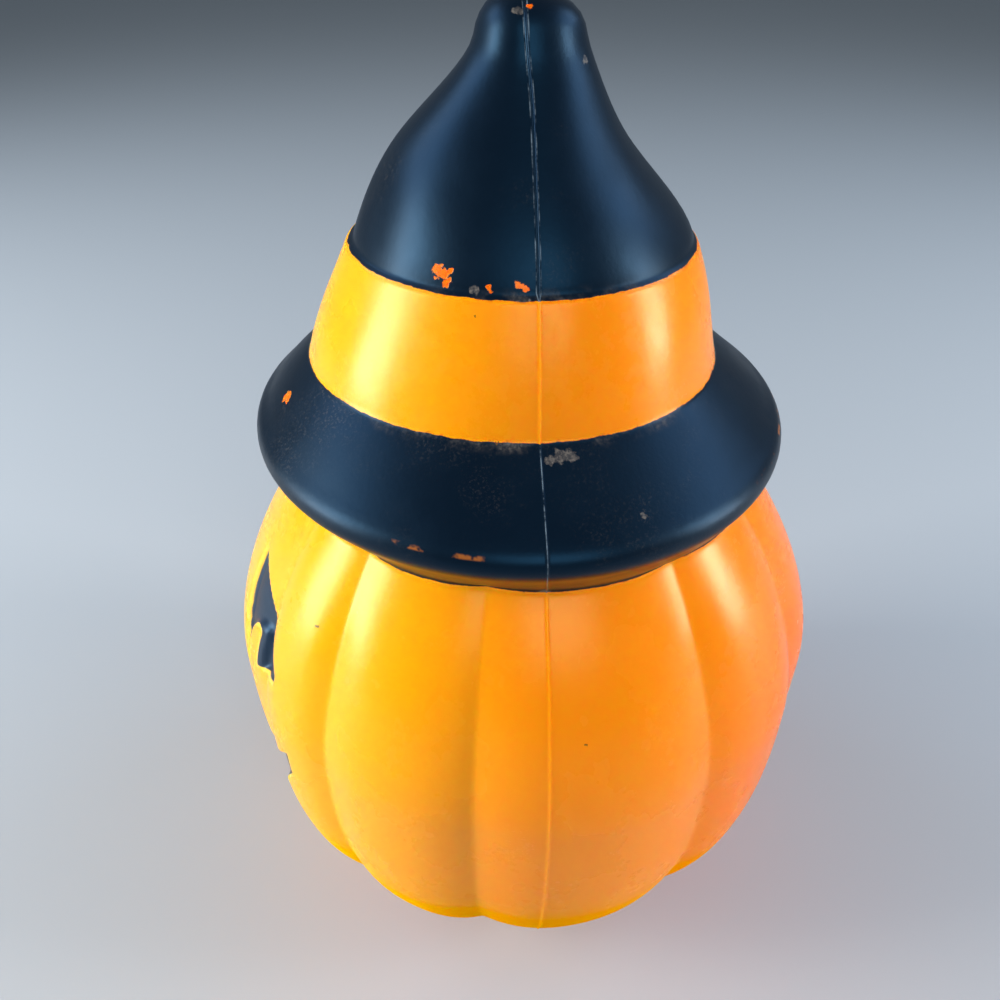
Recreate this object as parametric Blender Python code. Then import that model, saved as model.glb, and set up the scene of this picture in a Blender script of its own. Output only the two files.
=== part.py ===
# A blow-moulded jack-o'-lantern in a witch hat, and the small light that snaps into its back.
# The face looks along -Y, and the parting line runs up both sides, at +X and -X.
import math

import bmesh
import bpy
from mathutils import Vector

MM = 0.001
CLEARANCE = 0.3 * MM  # between pieces that touch on the real object

# Pumpkin: a super-ellipse below its widest ring and another above it
PUMPKIN_RADIUS = 88 * MM
WIDEST_HEIGHT = 101.2 * MM
BASE_TRIM = 5.3 * MM  # how far below the base the lower curve would close
LOWER_REACH = WIDEST_HEIGHT + BASE_TRIM
LOWER_DROP_POWER = 2.75
LOWER_WIDTH_POWER = 1.97
UPPER_REACH = 113 * MM
UPPER_RISE_POWER = 1.82
UPPER_WIDTH_POWER = 1.06
WALL = 2.0 * MM

# Grooves between the lobes on the +X side, as angles from +X; the other side mirrors them
SIDE_GROOVES_DEG = (-63, -42, -12.7, 30.5, 61)
BACK_GROOVE_DEG = 90
GROOVE_DEPTH = 3.2 * MM
GROOVE_SHARPNESS = 2.6
GROOVE_START_HEIGHT = 16 * MM
GROOVE_FADE_HEIGHT = 40 * MM  # below the crease, where the grooves grow shallow
GROOVE_LEFT_AT_CREASE = 0.45
LOBE_COLUMN_DEG = 8.5

# Hat: brim, band and crown stand on one another, each with its own offset towards the face
BRIM_HEIGHT = 177.5 * MM
BRIM_DROP = 17.1 * MM  # from the lip's centre down to the crease
CREASE_HEIGHT = BRIM_HEIGHT - BRIM_DROP
BRIM_OVERHANG = 14.05 * MM  # to the sides, past the pumpkin at the crease
BRIM_DEPTH_SHARE = 0.93  # its reach to face and back, as a share of its reach to the sides
BRIM_LIP_RADIUS = 5 * MM
BRIM_SHIFT = -3.3 * MM
BRIM_RISE = 16.1 * MM  # from the lip's centre up to the band
BRIM_TOP_WIDTH = 23.6 * MM
BAND_FOOT_HEIGHT = BRIM_HEIGHT + BRIM_RISE
BAND_FOOT_SHIFT = -5.2 * MM
BAND_WIDTH = 28.6 * MM
BAND_TAPER = 7.8 * MM
BAND_TOP_HEIGHT = BAND_FOOT_HEIGHT + BAND_WIDTH
BAND_TOP_SHIFT = -2.5 * MM
BAND_LEDGE_WIDTH = 2.4 * MM
BAND_LEDGE_RISE = 1.5 * MM
CROWN_FOOT_HEIGHT = BAND_TOP_HEIGHT + BAND_LEDGE_RISE
CROWN_FOOT_SHIFT = -0.7 * MM
CROWN_BEND_RISE = 19.3 * MM
CROWN_BEND_HEIGHT = CROWN_FOOT_HEIGHT + CROWN_BEND_RISE
CROWN_BEND_SHIFT = -4.3 * MM
CROWN_NECK_RISE = 41.3 * MM
CROWN_NECK_RADIUS = 12.8 * MM
CROWN_NECK_HEIGHT = CROWN_FOOT_HEIGHT + CROWN_NECK_RISE
CROWN_NECK_SHIFT = -0.8 * MM
CROWN_SPREAD_POWER = 1.15
CROWN_TAPER_POWER = 1.3
TIP_RISE = 8.5 * MM
TIP_HEIGHT = CROWN_NECK_HEIGHT + TIP_RISE

# Face: outlines in the front view, as half-widths and heights
EYE_DEPTH = 1.6 * MM
EYE_PEAK_X = 17 * MM
EYE_PEAK_HEIGHT = 141 * MM
EYE_OUTER_X = 47.3 * MM
EYE_OUTER_HEIGHT = 119.5 * MM
EYE_FOOT_OUTER_X = 46.9 * MM
EYE_FOOT_OUTER_HEIGHT = 117 * MM
EYE_FOOT_INNER_X = 25 * MM
EYE_FOOT_INNER_HEIGHT = 105 * MM
EYE_BROW_BOW = 1.5 * MM
EYE_INNER_BOW = 1.8 * MM
PUPIL_X = 30.4 * MM
PUPIL_HALF_WIDTH = 4.4 * MM
PUPIL_RISE = 15.5 * MM  # above the eye's foot
NOSE_HALF_WIDTH = 8 * MM
NOSE_FOOT_HEIGHT = 86 * MM
NOSE_PEAK_HEIGHT = 102 * MM
NOSE_PEAK_HALF_WIDTH = 0.8 * MM
MOUTH_HALF_WIDTH = 54 * MM
MOUTH_CENTRE_HEIGHT = 57 * MM
MOUTH_CORNER_HEIGHT = 92 * MM
MOUTH_CURVE_POWER = 2.1
MOUTH_HALF_OPENING = 10 * MM
MOUTH_CORNER_HALF_OPENING = 4.5 * MM
TOOTH_HALF_WIDTH = 6 * MM
TOOTH_TAPER = 1 * MM
TOOTH_LENGTH = 8 * MM
TOOTH_MARGIN = 1.2 * MM  # left free of the mouth's own points on each side of a tooth
UPPER_TOOTH_X = 16 * MM

# Light hole, in a flat recess low in the back
LIGHT_HEIGHT = 75 * MM
PAD_SINK = 0.6 * MM  # below the back groove at the pad's foot
PAD_RADIUS = 22 * MM
LIGHT_HOLE_RADIUS = 16.5 * MM

# Socket, measured along the light's axis from the front of the insulating disc
SEAT_DEPTH = 13 * MM  # from the pad in to the socket's seat
FLANGE_RADIUS = 20 * MM
FLANGE_THICKNESS = 2.5 * MM
BARREL_RADIUS = 9.2 * MM
BARREL_LENGTH = 17 * MM
SOCKET_BORE_RADIUS = 7.2 * MM
CHAMBER_RADIUS = 5.8 * MM
CHAMBER_BACK = 1.5 * MM  # solid flange left behind the chamber
CORD_BORE_RADIUS = 3.5 * MM
DISC_THICKNESS = 2.5 * MM
CLIP_WIDTH = 8 * MM
CLIP_THICKNESS = 0.5 * MM
CLIP_REACH = 18.6 * MM
CLIP_ROOT_LOW = 5 * MM
CLIP_ROOT_HIGH = 14 * MM
CLIP_TAIL = 1.5 * MM  # how far the clip's root runs past its pocket
CLIP_CATCH_LENGTH = 2.6 * MM
POCKET_WALL = 1.4 * MM

# Rolled thread of the candelabra cap, which the socket's shell repeats one clearance outside it
THREAD_PITCH = 2.54 * MM
THREAD_MEAN_RADIUS = 5.7 * MM
THREAD_WAVE = 0.25 * MM
THREAD_COLUMNS = 20
THREAD_ROWS_PER_TURN = 5
SHELL_WALL = 0.35 * MM
SHELL_LENGTH = 15 * MM
SHELL_BASE = 0.4 * MM
SHELL_BASE_HOLE = 3.4 * MM
CAP_FOOT = 4.6 * MM
CAP_THREAD_END = 14.6 * MM
CAP_LENGTH = 13.4 * MM
CAP_BORE_RADIUS = 5.1 * MM
CAP_RIM_RADIUS = 6.3 * MM
CAP_RIM_BORE = 5.8 * MM
CAP_RIM_HEIGHT = 1.8 * MM
CAP_RIM_LIP = 0.6 * MM
CAP_INSULATOR_INSIDE = 1.2 * MM  # its length inside the cap
RIVET_RADIUS = 0.55 * MM
RIVET_HEAD_RADIUS = 1 * MM
RIVET_HEAD = 0.4 * MM
SHELL_RIVET_X = 4.35 * MM
CONTACT_RIVET_X = -1.3 * MM
CONTACT_LENGTH = 4.6 * MM
CONTACT_WIDTH = 2.4 * MM
CONTACT_THICKNESS = 0.35 * MM
CONTACT_RISE = 1.5 * MM
CONTACT_RAMP_SHARE = 0.55  # of the leaf's free half
TIP_RADIUS = 1.5 * MM
TIP_FACE_RADIUS = 1 * MM
TIP_THICKNESS = 0.7 * MM

# Bulb
GLASS_RADIUS = 11 * MM
GLASS_NECK_RADIUS = 4.8 * MM
GLASS_NECK_LOW = 12 * MM
GLASS_WIDEST = 36 * MM
GLASS_TOP = 56.6 * MM
GLASS_WALL = 0.6 * MM
GLASS_TIP_WALL = 1.8 * MM
GLASS_TIP_POWER = 1.7
GLASS_ROUND_POWER = 0.75
STEM_RADIUS = 3.6 * MM
STEM_FOOT = 1 * MM
STEM_TAPER = 3 * MM
STEM_TOP_RADIUS = 1.9 * MM
STEM_TOP = 26 * MM
WIRE_RADIUS = 0.3 * MM
WIRE_FOOT_X = 1.1 * MM
WIRE_TOP_X = 5 * MM
WIRE_TOP = 37 * MM
WIRE_STRAIGHT = 2 * MM  # at each end
FILAMENT_RADIUS = 0.2 * MM
FILAMENT_RISE = 3 * MM

ROUND_SIDES = 40
SMALL_SIDES = 20
OUTSIDE = 130 * MM  # well clear of the pumpkin, for cutters
CUTTER_SPARE = 2 * MM  # how far a cutter runs past what it cuts


def material(name, colour, roughness, metallic=0.0, alpha=1.0):
    made = bpy.data.materials.new(name)
    made.use_nodes = True
    shader = made.node_tree.nodes["Principled BSDF"]
    shader.inputs["Base Color"].default_value = (*colour, 1.0)
    shader.inputs["Roughness"].default_value = roughness
    shader.inputs["Metallic"].default_value = metallic
    shader.inputs["Alpha"].default_value = alpha
    return made


def object_from(name, mesh, *materials):
    made = bpy.data.objects.new(name, mesh)
    bpy.context.scene.collection.objects.link(made)
    for one in materials:
        mesh.materials.append(one)
    return made


def mesh_from(name, bm):
    mesh = bpy.data.meshes.new(name)
    bmesh.ops.recalc_face_normals(bm, faces=bm.faces)
    bm.to_mesh(mesh)
    bm.free()
    return mesh


def smooth(made, angle_deg=35):
    made.data.shade_smooth()
    made.data.set_sharp_from_angle(angle=math.radians(angle_deg))


def helper(made):
    made.hide_render = True
    made.display_type = "WIRE"
    return made


def boolean(made, cutter, operation="DIFFERENCE"):
    cut = made.modifiers.new(cutter.name, "BOOLEAN")
    cut.operation = operation
    cut.solver = "EXACT"
    cut.material_mode = "TRANSFER"
    cut.object = cutter


def ease(value, low, high):
    # 0 at low, 1 at high, and level at both ends
    share = min(max((value - low) / (high - low), 0.0), 1.0)
    return share * share * (3 - 2 * share)


def between(value, pairs):
    # straight runs through (place, value) pairs
    for (low, first), (high, second) in zip(pairs, pairs[1:]):
        if value <= high:
            return first + (second - first) * max(value - low, 0.0) / (high - low)
    return pairs[-1][1]


def pumpkin_radius(height):
    if height < WIDEST_HEIGHT:
        drop = (WIDEST_HEIGHT - height) / LOWER_REACH
        return PUMPKIN_RADIUS * (1 - drop**LOWER_DROP_POWER) ** (1 / LOWER_WIDTH_POWER)
    rise = (height - WIDEST_HEIGHT) / UPPER_REACH
    return PUMPKIN_RADIUS * (1 - rise**UPPER_RISE_POWER) ** (1 / UPPER_WIDTH_POWER)


PAD_PLANE = pumpkin_radius(LIGHT_HEIGHT - PAD_RADIUS) - GROOVE_DEPTH - PAD_SINK
SEAT_PLANE = PAD_PLANE - SEAT_DEPTH
BRIM_RADIUS = pumpkin_radius(CREASE_HEIGHT) + BRIM_OVERHANG
BAND_FOOT_RADIUS = BRIM_RADIUS - BRIM_TOP_WIDTH
BAND_TOP_RADIUS = BAND_FOOT_RADIUS - BAND_TAPER
CROWN_FOOT_RADIUS = BAND_TOP_RADIUS - BAND_LEDGE_WIDTH


def all_grooves():
    sides = list(SIDE_GROOVES_DEG) + [BACK_GROOVE_DEG]
    sides += [180 - angle for angle in reversed(SIDE_GROOVES_DEG)]
    return sides


def columns():
    # (angle, groove share) of each column of points: 1 in a groove, 0 on a lobe's crest
    grooves = all_grooves()
    found = []
    for start, end in zip(grooves, grooves[1:] + [grooves[0] + 360]):
        steps = max(4, round((end - start) / LOBE_COLUMN_DEG))
        for step in range(steps):
            share = step / steps
            angle = math.radians(start + (end - start) * share)
            found.append((angle, abs(2 * share - 1) ** GROOVE_SHARPNESS))
    return found


def groove_depth(height):
    rising = ease(height, 0, GROOVE_START_HEIGHT)
    fading = ease(height, CREASE_HEIGHT - GROOVE_FADE_HEIGHT, CREASE_HEIGHT)
    return GROOVE_DEPTH * rising * (1 - (1 - GROOVE_LEFT_AT_CREASE) * fading)


def pumpkin_stations(lower_steps=9, upper_steps=7):
    # heights spaced by equal turns of the profile, as (radius, height)
    start = math.asin(WIDEST_HEIGHT / LOWER_REACH)
    found = []
    for step in range(lower_steps):
        turn = start * (1 - step / lower_steps)
        height = max(WIDEST_HEIGHT - LOWER_REACH * math.sin(turn), 0.0)
        found.append((pumpkin_radius(height), height))
    end = math.asin((CREASE_HEIGHT - WIDEST_HEIGHT) / UPPER_REACH)
    for step in range(upper_steps + 1):
        height = WIDEST_HEIGHT + UPPER_REACH * math.sin(end * step / upper_steps)
        found.append((pumpkin_radius(height), height))
    return found


def brim_stations(lip_steps=5):
    # the underside rises from the crease to a round lip, and the top slopes up to the band
    lip_x = BRIM_RADIUS - BRIM_LIP_RADIUS
    crease = pumpkin_radius(CREASE_HEIGHT)
    below = math.atan2(lip_x - crease, BRIM_DROP)
    above = math.atan2(lip_x - BAND_FOOT_RADIUS, BRIM_RISE)
    found = []
    for step in range(lip_steps + 1):
        turn = -below + (above + below) * step / lip_steps
        found.append(
            (
                lip_x + BRIM_LIP_RADIUS * math.cos(turn),
                BRIM_HEIGHT + BRIM_LIP_RADIUS * math.sin(turn),
            )
        )
    return found


def band_stations(steps=2):
    found = []
    for step in range(steps + 1):
        share = step / steps
        found.append(
            (
                BAND_FOOT_RADIUS - BAND_TAPER * share,
                BAND_FOOT_HEIGHT + BAND_WIDTH * share,
            )
        )
    return found


def crown_stations(steps=7, tip_steps=3):
    # the crown narrows to a neck, which a rounded tip closes
    found = []
    for step in range(steps + 1):
        share = step / steps
        taper = (1 - share**CROWN_SPREAD_POWER) ** CROWN_TAPER_POWER
        radius = CROWN_NECK_RADIUS + (CROWN_FOOT_RADIUS - CROWN_NECK_RADIUS) * taper
        found.append((radius, CROWN_FOOT_HEIGHT + CROWN_NECK_RISE * share))
    for step in range(1, tip_steps):
        turn = math.radians(90 * step / tip_steps)
        radius = CROWN_NECK_RADIUS * math.cos(turn)
        found.append((radius, CROWN_NECK_HEIGHT + TIP_RISE * math.sin(turn)))
    return found


def centre_shift(height):
    return between(
        height,
        [
            (CREASE_HEIGHT, 0.0),
            (BRIM_HEIGHT, BRIM_SHIFT),
            (BAND_FOOT_HEIGHT, BAND_FOOT_SHIFT),
            (BAND_TOP_HEIGHT, BAND_TOP_SHIFT),
            (CROWN_FOOT_HEIGHT, CROWN_FOOT_SHIFT),
            (CROWN_BEND_HEIGHT, CROWN_BEND_SHIFT),
            (CROWN_NECK_HEIGHT, CROWN_NECK_SHIFT),
        ],
    )


def depth_share(height):
    # the brim is an oval, shallower from face to back than from side to side
    return between(
        height,
        [
            (CREASE_HEIGHT, 1.0),
            (BRIM_HEIGHT - BRIM_LIP_RADIUS, BRIM_DEPTH_SHARE),
            (BRIM_HEIGHT + BRIM_LIP_RADIUS, BRIM_DEPTH_SHARE),
            (BAND_FOOT_HEIGHT, 1.0),
        ],
    )


def skin_mesh(name, inset=0.0):
    # the closed outer surface of the moulding, moved inwards by inset along its normals
    bm = bmesh.new()
    pumpkin = pumpkin_stations()
    black = brim_stations()
    band = band_stations()
    stations = pumpkin + black + band + crown_stations()
    rings = []
    for index, (radius, height) in enumerate(stations):
        depth = groove_depth(height) if index < len(pumpkin) else 0.0
        ring = []
        for angle, groove in columns():
            reach = radius - depth * groove
            x = reach * math.cos(angle)
            y = reach * math.sin(angle) * depth_share(height) + centre_shift(height)
            ring.append(bm.verts.new((x, y, height)))
        rings.append(ring)
    tip = bm.verts.new((0, centre_shift(TIP_HEIGHT), TIP_HEIGHT))
    count = len(rings[0])
    orange_last = len(pumpkin) - 1
    band_first = len(pumpkin) + len(black)
    band_last = band_first + len(band) - 1
    for level, (low, high) in enumerate(zip(rings, rings[1:])):
        painted = level >= orange_last and not band_first <= level < band_last
        for i in range(count):
            j = (i + 1) % count
            face = bm.faces.new((low[i], low[j], high[j], high[i]))
            face.material_index = 1 if painted else 0
    for i in range(count):
        face = bm.faces.new((rings[-1][i], rings[-1][(i + 1) % count], tip))
        face.material_index = 1
    bm.faces.new(reversed(rings[0]))
    bm.normal_update()
    if inset:
        moved = [vert.co - vert.normal * inset for vert in bm.verts]
        for vert, place in zip(bm.verts, moved):
            vert.co = place
    return mesh_from(name, bm)


def prism(name, outline, front, back, made_of):
    # an outline in the front view, as (x, height) points, run along Y
    bm = bmesh.new()
    near = [bm.verts.new((x, front, height)) for x, height in outline]
    far = [bm.verts.new((x, back, height)) for x, height in outline]
    bm.faces.new(near)
    bm.faces.new(list(reversed(far)))
    for i in range(len(outline)):
        j = (i + 1) % len(outline)
        bm.faces.new((near[i], far[i], far[j], near[j]))
    return helper(object_from(name, mesh_from(name, bm), made_of))


def grown(outline, margin):
    # each point moved outwards along the mean of its two edges' normals
    points = [Vector(point) for point in outline]
    area = sum(a.x * b.y - b.x * a.y for a, b in zip(points, points[1:] + points[:1]))
    turn = 1 if area > 0 else -1
    found = []
    for i, point in enumerate(points):
        before = (point - points[i - 1]).normalized()
        after = (points[(i + 1) % len(points)] - point).normalized()
        normal = (Vector((before.y, -before.x)) + Vector((after.y, -after.x))) * turn
        found.append(tuple(point + normal.normalized() * margin))
    return found


def bowed(start, end, bow, steps):
    # points from start on to end, pushed to the left of the way by up to bow
    run = Vector(end) - Vector(start)
    left = Vector((-run.y, run.x)).normalized()
    found = []
    for step in range(steps):
        share = step / steps
        found.append(tuple(Vector(start) + run * share + left * bow * 4 * share * (1 - share)))
    return found


def eye_outline(side):
    # a leaning triangle, with the round-topped pupil notched into its foot
    peak = (EYE_PEAK_X, EYE_PEAK_HEIGHT)
    outer = (EYE_OUTER_X, EYE_OUTER_HEIGHT)
    foot_outer = (EYE_FOOT_OUTER_X, EYE_FOOT_OUTER_HEIGHT)
    foot_inner = (EYE_FOOT_INNER_X, EYE_FOOT_INNER_HEIGHT)
    points = bowed(peak, outer, EYE_BROW_BOW, 6) + [outer, foot_outer]
    rim = [(PUPIL_X + PUPIL_HALF_WIDTH, 0)]
    for step in range(9):
        turn = math.radians(180 * step / 8)
        rise = PUPIL_RISE - PUPIL_HALF_WIDTH * (1 - math.sin(turn))
        rim.append((PUPIL_X + PUPIL_HALF_WIDTH * math.cos(turn), rise))
    rim.append((PUPIL_X - PUPIL_HALF_WIDTH, 0))
    for x, rise in rim:
        share = (x - EYE_FOOT_INNER_X) / (EYE_FOOT_OUTER_X - EYE_FOOT_INNER_X)
        foot = (EYE_FOOT_OUTER_HEIGHT - EYE_FOOT_INNER_HEIGHT) * share
        points.append((x, EYE_FOOT_INNER_HEIGHT + foot + rise))
    points += bowed(foot_inner, peak, EYE_INNER_BOW, 6)
    return [(side * x, height) for x, height in points]


def mouth_edge(x, upper):
    share = abs(x) / MOUTH_HALF_WIDTH
    middle = MOUTH_CENTRE_HEIGHT
    middle += (MOUTH_CORNER_HEIGHT - MOUTH_CENTRE_HEIGHT) * share**MOUTH_CURVE_POWER
    opening = MOUTH_HALF_OPENING
    opening += (MOUTH_CORNER_HALF_OPENING - MOUTH_HALF_OPENING) * share**2
    return middle + opening if upper else middle - opening


def mouth_outline():
    # a wide grin with two teeth above and one below
    def edge(upper, teeth, steps=15):
        places = {MOUTH_HALF_WIDTH * (2 * i / steps - 1): 0.0 for i in range(steps + 1)}
        for tooth in teeth:
            near = [
                x for x in places if abs(x - tooth) < TOOTH_HALF_WIDTH + TOOTH_MARGIN
            ]
            for x in near:
                del places[x]
        found = [(x, mouth_edge(x, upper)) for x in places]
        reach = -TOOTH_LENGTH if upper else TOOTH_LENGTH
        for tooth in teeth:
            left = tooth - TOOTH_HALF_WIDTH
            right = tooth + TOOTH_HALF_WIDTH
            found += [
                (left, mouth_edge(left, upper)),
                (left + TOOTH_TAPER, mouth_edge(left, upper) + reach),
                (right - TOOTH_TAPER, mouth_edge(right, upper) + reach),
                (right, mouth_edge(right, upper)),
            ]
        return sorted(found)

    lower = edge(False, [0.0])
    upper = edge(True, [-UPPER_TOOTH_X, UPPER_TOOTH_X])
    return lower + list(reversed(upper))


def nose_outline():
    return [
        (-NOSE_HALF_WIDTH, NOSE_FOOT_HEIGHT),
        (NOSE_HALF_WIDTH, NOSE_FOOT_HEIGHT),
        (NOSE_PEAK_HALF_WIDTH, NOSE_PEAK_HEIGHT),
        (-NOSE_PEAK_HALF_WIDTH, NOSE_PEAK_HEIGHT),
    ]


def cylinder_along_y(name, radius, near, far, made_of):
    bm = bmesh.new()
    bmesh.ops.create_cone(
        bm,
        cap_ends=True,
        segments=ROUND_SIDES,
        radius1=radius,
        radius2=radius,
        depth=far - near,
    )
    made = helper(object_from(name, mesh_from(name, bm), made_of))
    made.rotation_euler = (math.radians(90), 0, 0)
    made.location = (0, (near + far) / 2, LIGHT_HEIGHT)
    return made


def make_moulded_body(orange, black):
    body = object_from("moulded_body", skin_mesh("moulded_body"), orange, black)
    smooth(body, 28)
    cavity_mesh = skin_mesh("cavity", WALL)
    cavity = helper(object_from("cavity", cavity_mesh, orange, black))
    recess_mesh = skin_mesh("recess_floor", EYE_DEPTH)
    recess_floor = helper(object_from("recess_floor", recess_mesh, black, black))
    boss_mesh = skin_mesh("boss_floor", EYE_DEPTH + WALL)
    boss_floor = helper(object_from("boss_floor", boss_mesh, orange, orange))
    boss = cylinder_along_y(
        "pad_boss", PAD_RADIUS + WALL, PAD_PLANE - WALL, OUTSIDE, orange
    )
    boolean(cavity, boss)
    features = {
        "eye_left": eye_outline(1),
        "eye_right": eye_outline(-1),
        "nose": nose_outline(),
        "mouth": mouth_outline(),
    }
    recesses = []
    for name, outline in features.items():
        outer = prism(f"{name}_boss", grown(outline, WALL), -OUTSIDE, -WALL, orange)
        boolean(outer, boss_floor)
        boolean(cavity, outer)
        recess = prism(f"{name}_recess", outline, -OUTSIDE, -WALL, black)
        boolean(recess, recess_floor)
        recesses.append(recess)
    boolean(body, cylinder_along_y("pad", PAD_RADIUS, PAD_PLANE, OUTSIDE, orange))
    boolean(body, cavity)
    hole_start = PAD_PLANE - WALL - CUTTER_SPARE
    hole = cylinder_along_y(
        "light_hole", LIGHT_HOLE_RADIUS, hole_start, OUTSIDE, orange
    )
    boolean(body, hole)
    for recess in recesses:
        boolean(body, recess)
    return body


def light_axis():
    # local +Z runs from the socket's seat to the bulb's tip, which is -Y in the pumpkin
    axis = bpy.data.objects.new("light_axis", None)
    axis.location = (0, SEAT_PLANE, LIGHT_HEIGHT)
    axis.rotation_euler = (math.radians(90), 0, 0)
    bpy.context.scene.collection.objects.link(axis)
    return axis


def turned(name, profile, made_of, axis, sides=ROUND_SIDES):
    # a closed (radius, place) outline turned about the light's axis, flat or pointed on it
    bm = bmesh.new()
    rings = []
    for radius, place in profile:
        ring = []
        for i in range(sides if radius else 0):
            angle = 2 * math.pi * i / sides
            x, y = radius * math.cos(angle), radius * math.sin(angle)
            ring.append(bm.verts.new((x, y, place)))
        rings.append(ring)
    for index, low in enumerate(rings):
        after = (index + 1) % len(rings)
        high = rings[after]
        if low and high:
            for i in range(sides):
                j = (i + 1) % sides
                bm.faces.new((low[i], low[j], high[j], high[i]))
            continue
        if not low and not high:
            continue
        if profile[index][1] == profile[after][1]:
            bm.faces.new(low or high)
            continue
        point = bm.verts.new((0, 0, profile[after if low else index][1]))
        ring = low or high
        for i in range(sides):
            bm.faces.new((ring[i], ring[(i + 1) % sides], point))
    made = object_from(name, mesh_from(name, bm), made_of)
    made.parent = axis
    smooth(made)
    return made


def box(name, low, high, made_of, axis):
    bm = bmesh.new()
    bmesh.ops.create_cube(bm, size=1)
    for vert in bm.verts:
        for i in range(3):
            middle = (low[i] + high[i]) / 2
            vert.co[i] = middle + vert.co[i] * (high[i] - low[i])
    made = object_from(name, mesh_from(name, bm), made_of)
    made.parent = axis
    return made


def flange_seat():
    return -SEAT_DEPTH - CLEARANCE


def clip_inner_x():
    return BARREL_RADIUS + CLEARANCE


def make_housing(plastic, axis):
    seat = flange_seat()
    back = seat - FLANGE_THICKNESS
    collar_end = -SEAT_DEPTH + WALL
    ledge = -DISC_THICKNESS - CLEARANCE
    chamber_end = back + CHAMBER_BACK
    profile = [
        (CORD_BORE_RADIUS, back),
        (FLANGE_RADIUS, back),
        (FLANGE_RADIUS, seat),
        (LIGHT_HOLE_RADIUS - CLEARANCE, seat),
        (LIGHT_HOLE_RADIUS - CLEARANCE, collar_end),
        (BARREL_RADIUS, collar_end),
        (BARREL_RADIUS, BARREL_LENGTH),
        (SOCKET_BORE_RADIUS, BARREL_LENGTH),
        (SOCKET_BORE_RADIUS, ledge),
        (CHAMBER_RADIUS, ledge),
        (CHAMBER_RADIUS, chamber_end),
        (CORD_BORE_RADIUS, chamber_end),
    ]
    housing = turned("socket_housing", profile, plastic, axis)
    for side, word in ((1, "left"), (-1, "right")):
        ends = sorted(
            (
                side * (BARREL_RADIUS + SOCKET_BORE_RADIUS) / 2,
                side * (clip_inner_x() + CLIP_THICKNESS + CLEARANCE + POCKET_WALL),
            )
        )
        half = CLIP_WIDTH / 2 + CLEARANCE + POCKET_WALL
        block = box(
            f"pocket_{word}",
            (ends[0], -half, CLIP_ROOT_LOW),
            (ends[1], half, CLIP_ROOT_HIGH - CLIP_TAIL),
            plastic,
            axis,
        )
        boolean(housing, helper(block), "UNION")
        slot_ends = sorted(
            (
                side * BARREL_RADIUS,
                side * (clip_inner_x() + CLIP_THICKNESS + CLEARANCE),
            )
        )
        slot_half = CLIP_WIDTH / 2 + CLEARANCE
        slot = box(
            f"slot_{word}",
            (slot_ends[0], -slot_half, CLIP_ROOT_LOW - POCKET_WALL),
            (slot_ends[1], slot_half, CLIP_ROOT_HIGH + POCKET_WALL),
            plastic,
            axis,
        )
        boolean(housing, helper(slot))
    return housing


def make_clip(word, side, steel, axis):
    # a leaf from its pocket, sloping out to catch behind the wall, with a ramp at its end
    inner = clip_inner_x()
    wall_inside = -SEAT_DEPTH + WALL
    line = [
        (inner, CLIP_ROOT_HIGH),
        (inner, CLIP_ROOT_LOW - POCKET_WALL),
        (CLIP_REACH - CLIP_THICKNESS, wall_inside + CLIP_CATCH_LENGTH),
        (LIGHT_HOLE_RADIUS - CLIP_THICKNESS, wall_inside + CLEARANCE),
    ]
    bm = bmesh.new()
    half = CLIP_WIDTH / 2
    outline = [Vector(point) for point in line]
    outline += [Vector((x + CLIP_THICKNESS, place)) for x, place in reversed(line)]
    near = [bm.verts.new((side * p.x, -half, p.y)) for p in outline]
    far = [bm.verts.new((side * p.x, half, p.y)) for p in outline]
    bm.faces.new(near)
    bm.faces.new(list(reversed(far)))
    for i in range(len(outline)):
        j = (i + 1) % len(outline)
        bm.faces.new((near[i], far[i], far[j], near[j]))
    bmesh.ops.triangulate(bm, faces=bm.faces)
    made = object_from(f"spring_clip_{word}", mesh_from("spring_clip", bm), steel)
    made.parent = axis
    return made


def drill(made, x, axis, radius):
    low, high = -DISC_THICKNESS - CUTTER_SPARE, CUTTER_SPARE
    cutter = turned(
        f"{made.name}_hole_{round(x / MM)}",
        [(0, low), (radius, low), (radius, high), (0, high)],
        made.data.materials[0],
        axis,
        SMALL_SIDES,
    )
    cutter.location = (x, 0, 0)
    boolean(made, helper(cutter))


def make_disc(fibre, axis):
    radius = SOCKET_BORE_RADIUS - CLEARANCE
    profile = [(0, -DISC_THICKNESS), (radius, -DISC_THICKNESS), (radius, 0), (0, 0)]
    disc = turned("insulating_disc", profile, fibre, axis)
    for x in (SHELL_RIVET_X, CONTACT_RIVET_X):
        drill(disc, x, axis, RIVET_RADIUS + CLEARANCE)
    return disc


def thread_radius(mean, turn, place, low, high, plain):
    # a wave that climbs one pitch a turn and settles to the plain radius at both ends
    wave = mean + THREAD_WAVE * math.cos(turn - 2 * math.pi * place / THREAD_PITCH)
    span = THREAD_PITCH / 2
    full = ease(place, low, low + span) * (1 - ease(place, high - span, high))
    return plain + (wave - plain) * full


def thread_places(low, high):
    rows = math.ceil((high - low) / THREAD_PITCH * THREAD_ROWS_PER_TURN)
    return [low + (high - low) * i / rows for i in range(rows + 1)]


def ring_mesh(name, rings, made_of, axis):
    # rings of equal count, joined in order and round again into one closed skin
    bm = bmesh.new()
    made_rings = [[bm.verts.new(point) for point in ring] for ring in rings]
    count = len(made_rings[0])
    for low, high in zip(made_rings, made_rings[1:] + made_rings[:1]):
        for i in range(count):
            j = (i + 1) % count
            bm.faces.new((low[i], low[j], high[j], high[i]))
    made = object_from(name, mesh_from(name, bm), made_of)
    made.parent = axis
    smooth(made, 60)
    return made


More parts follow.
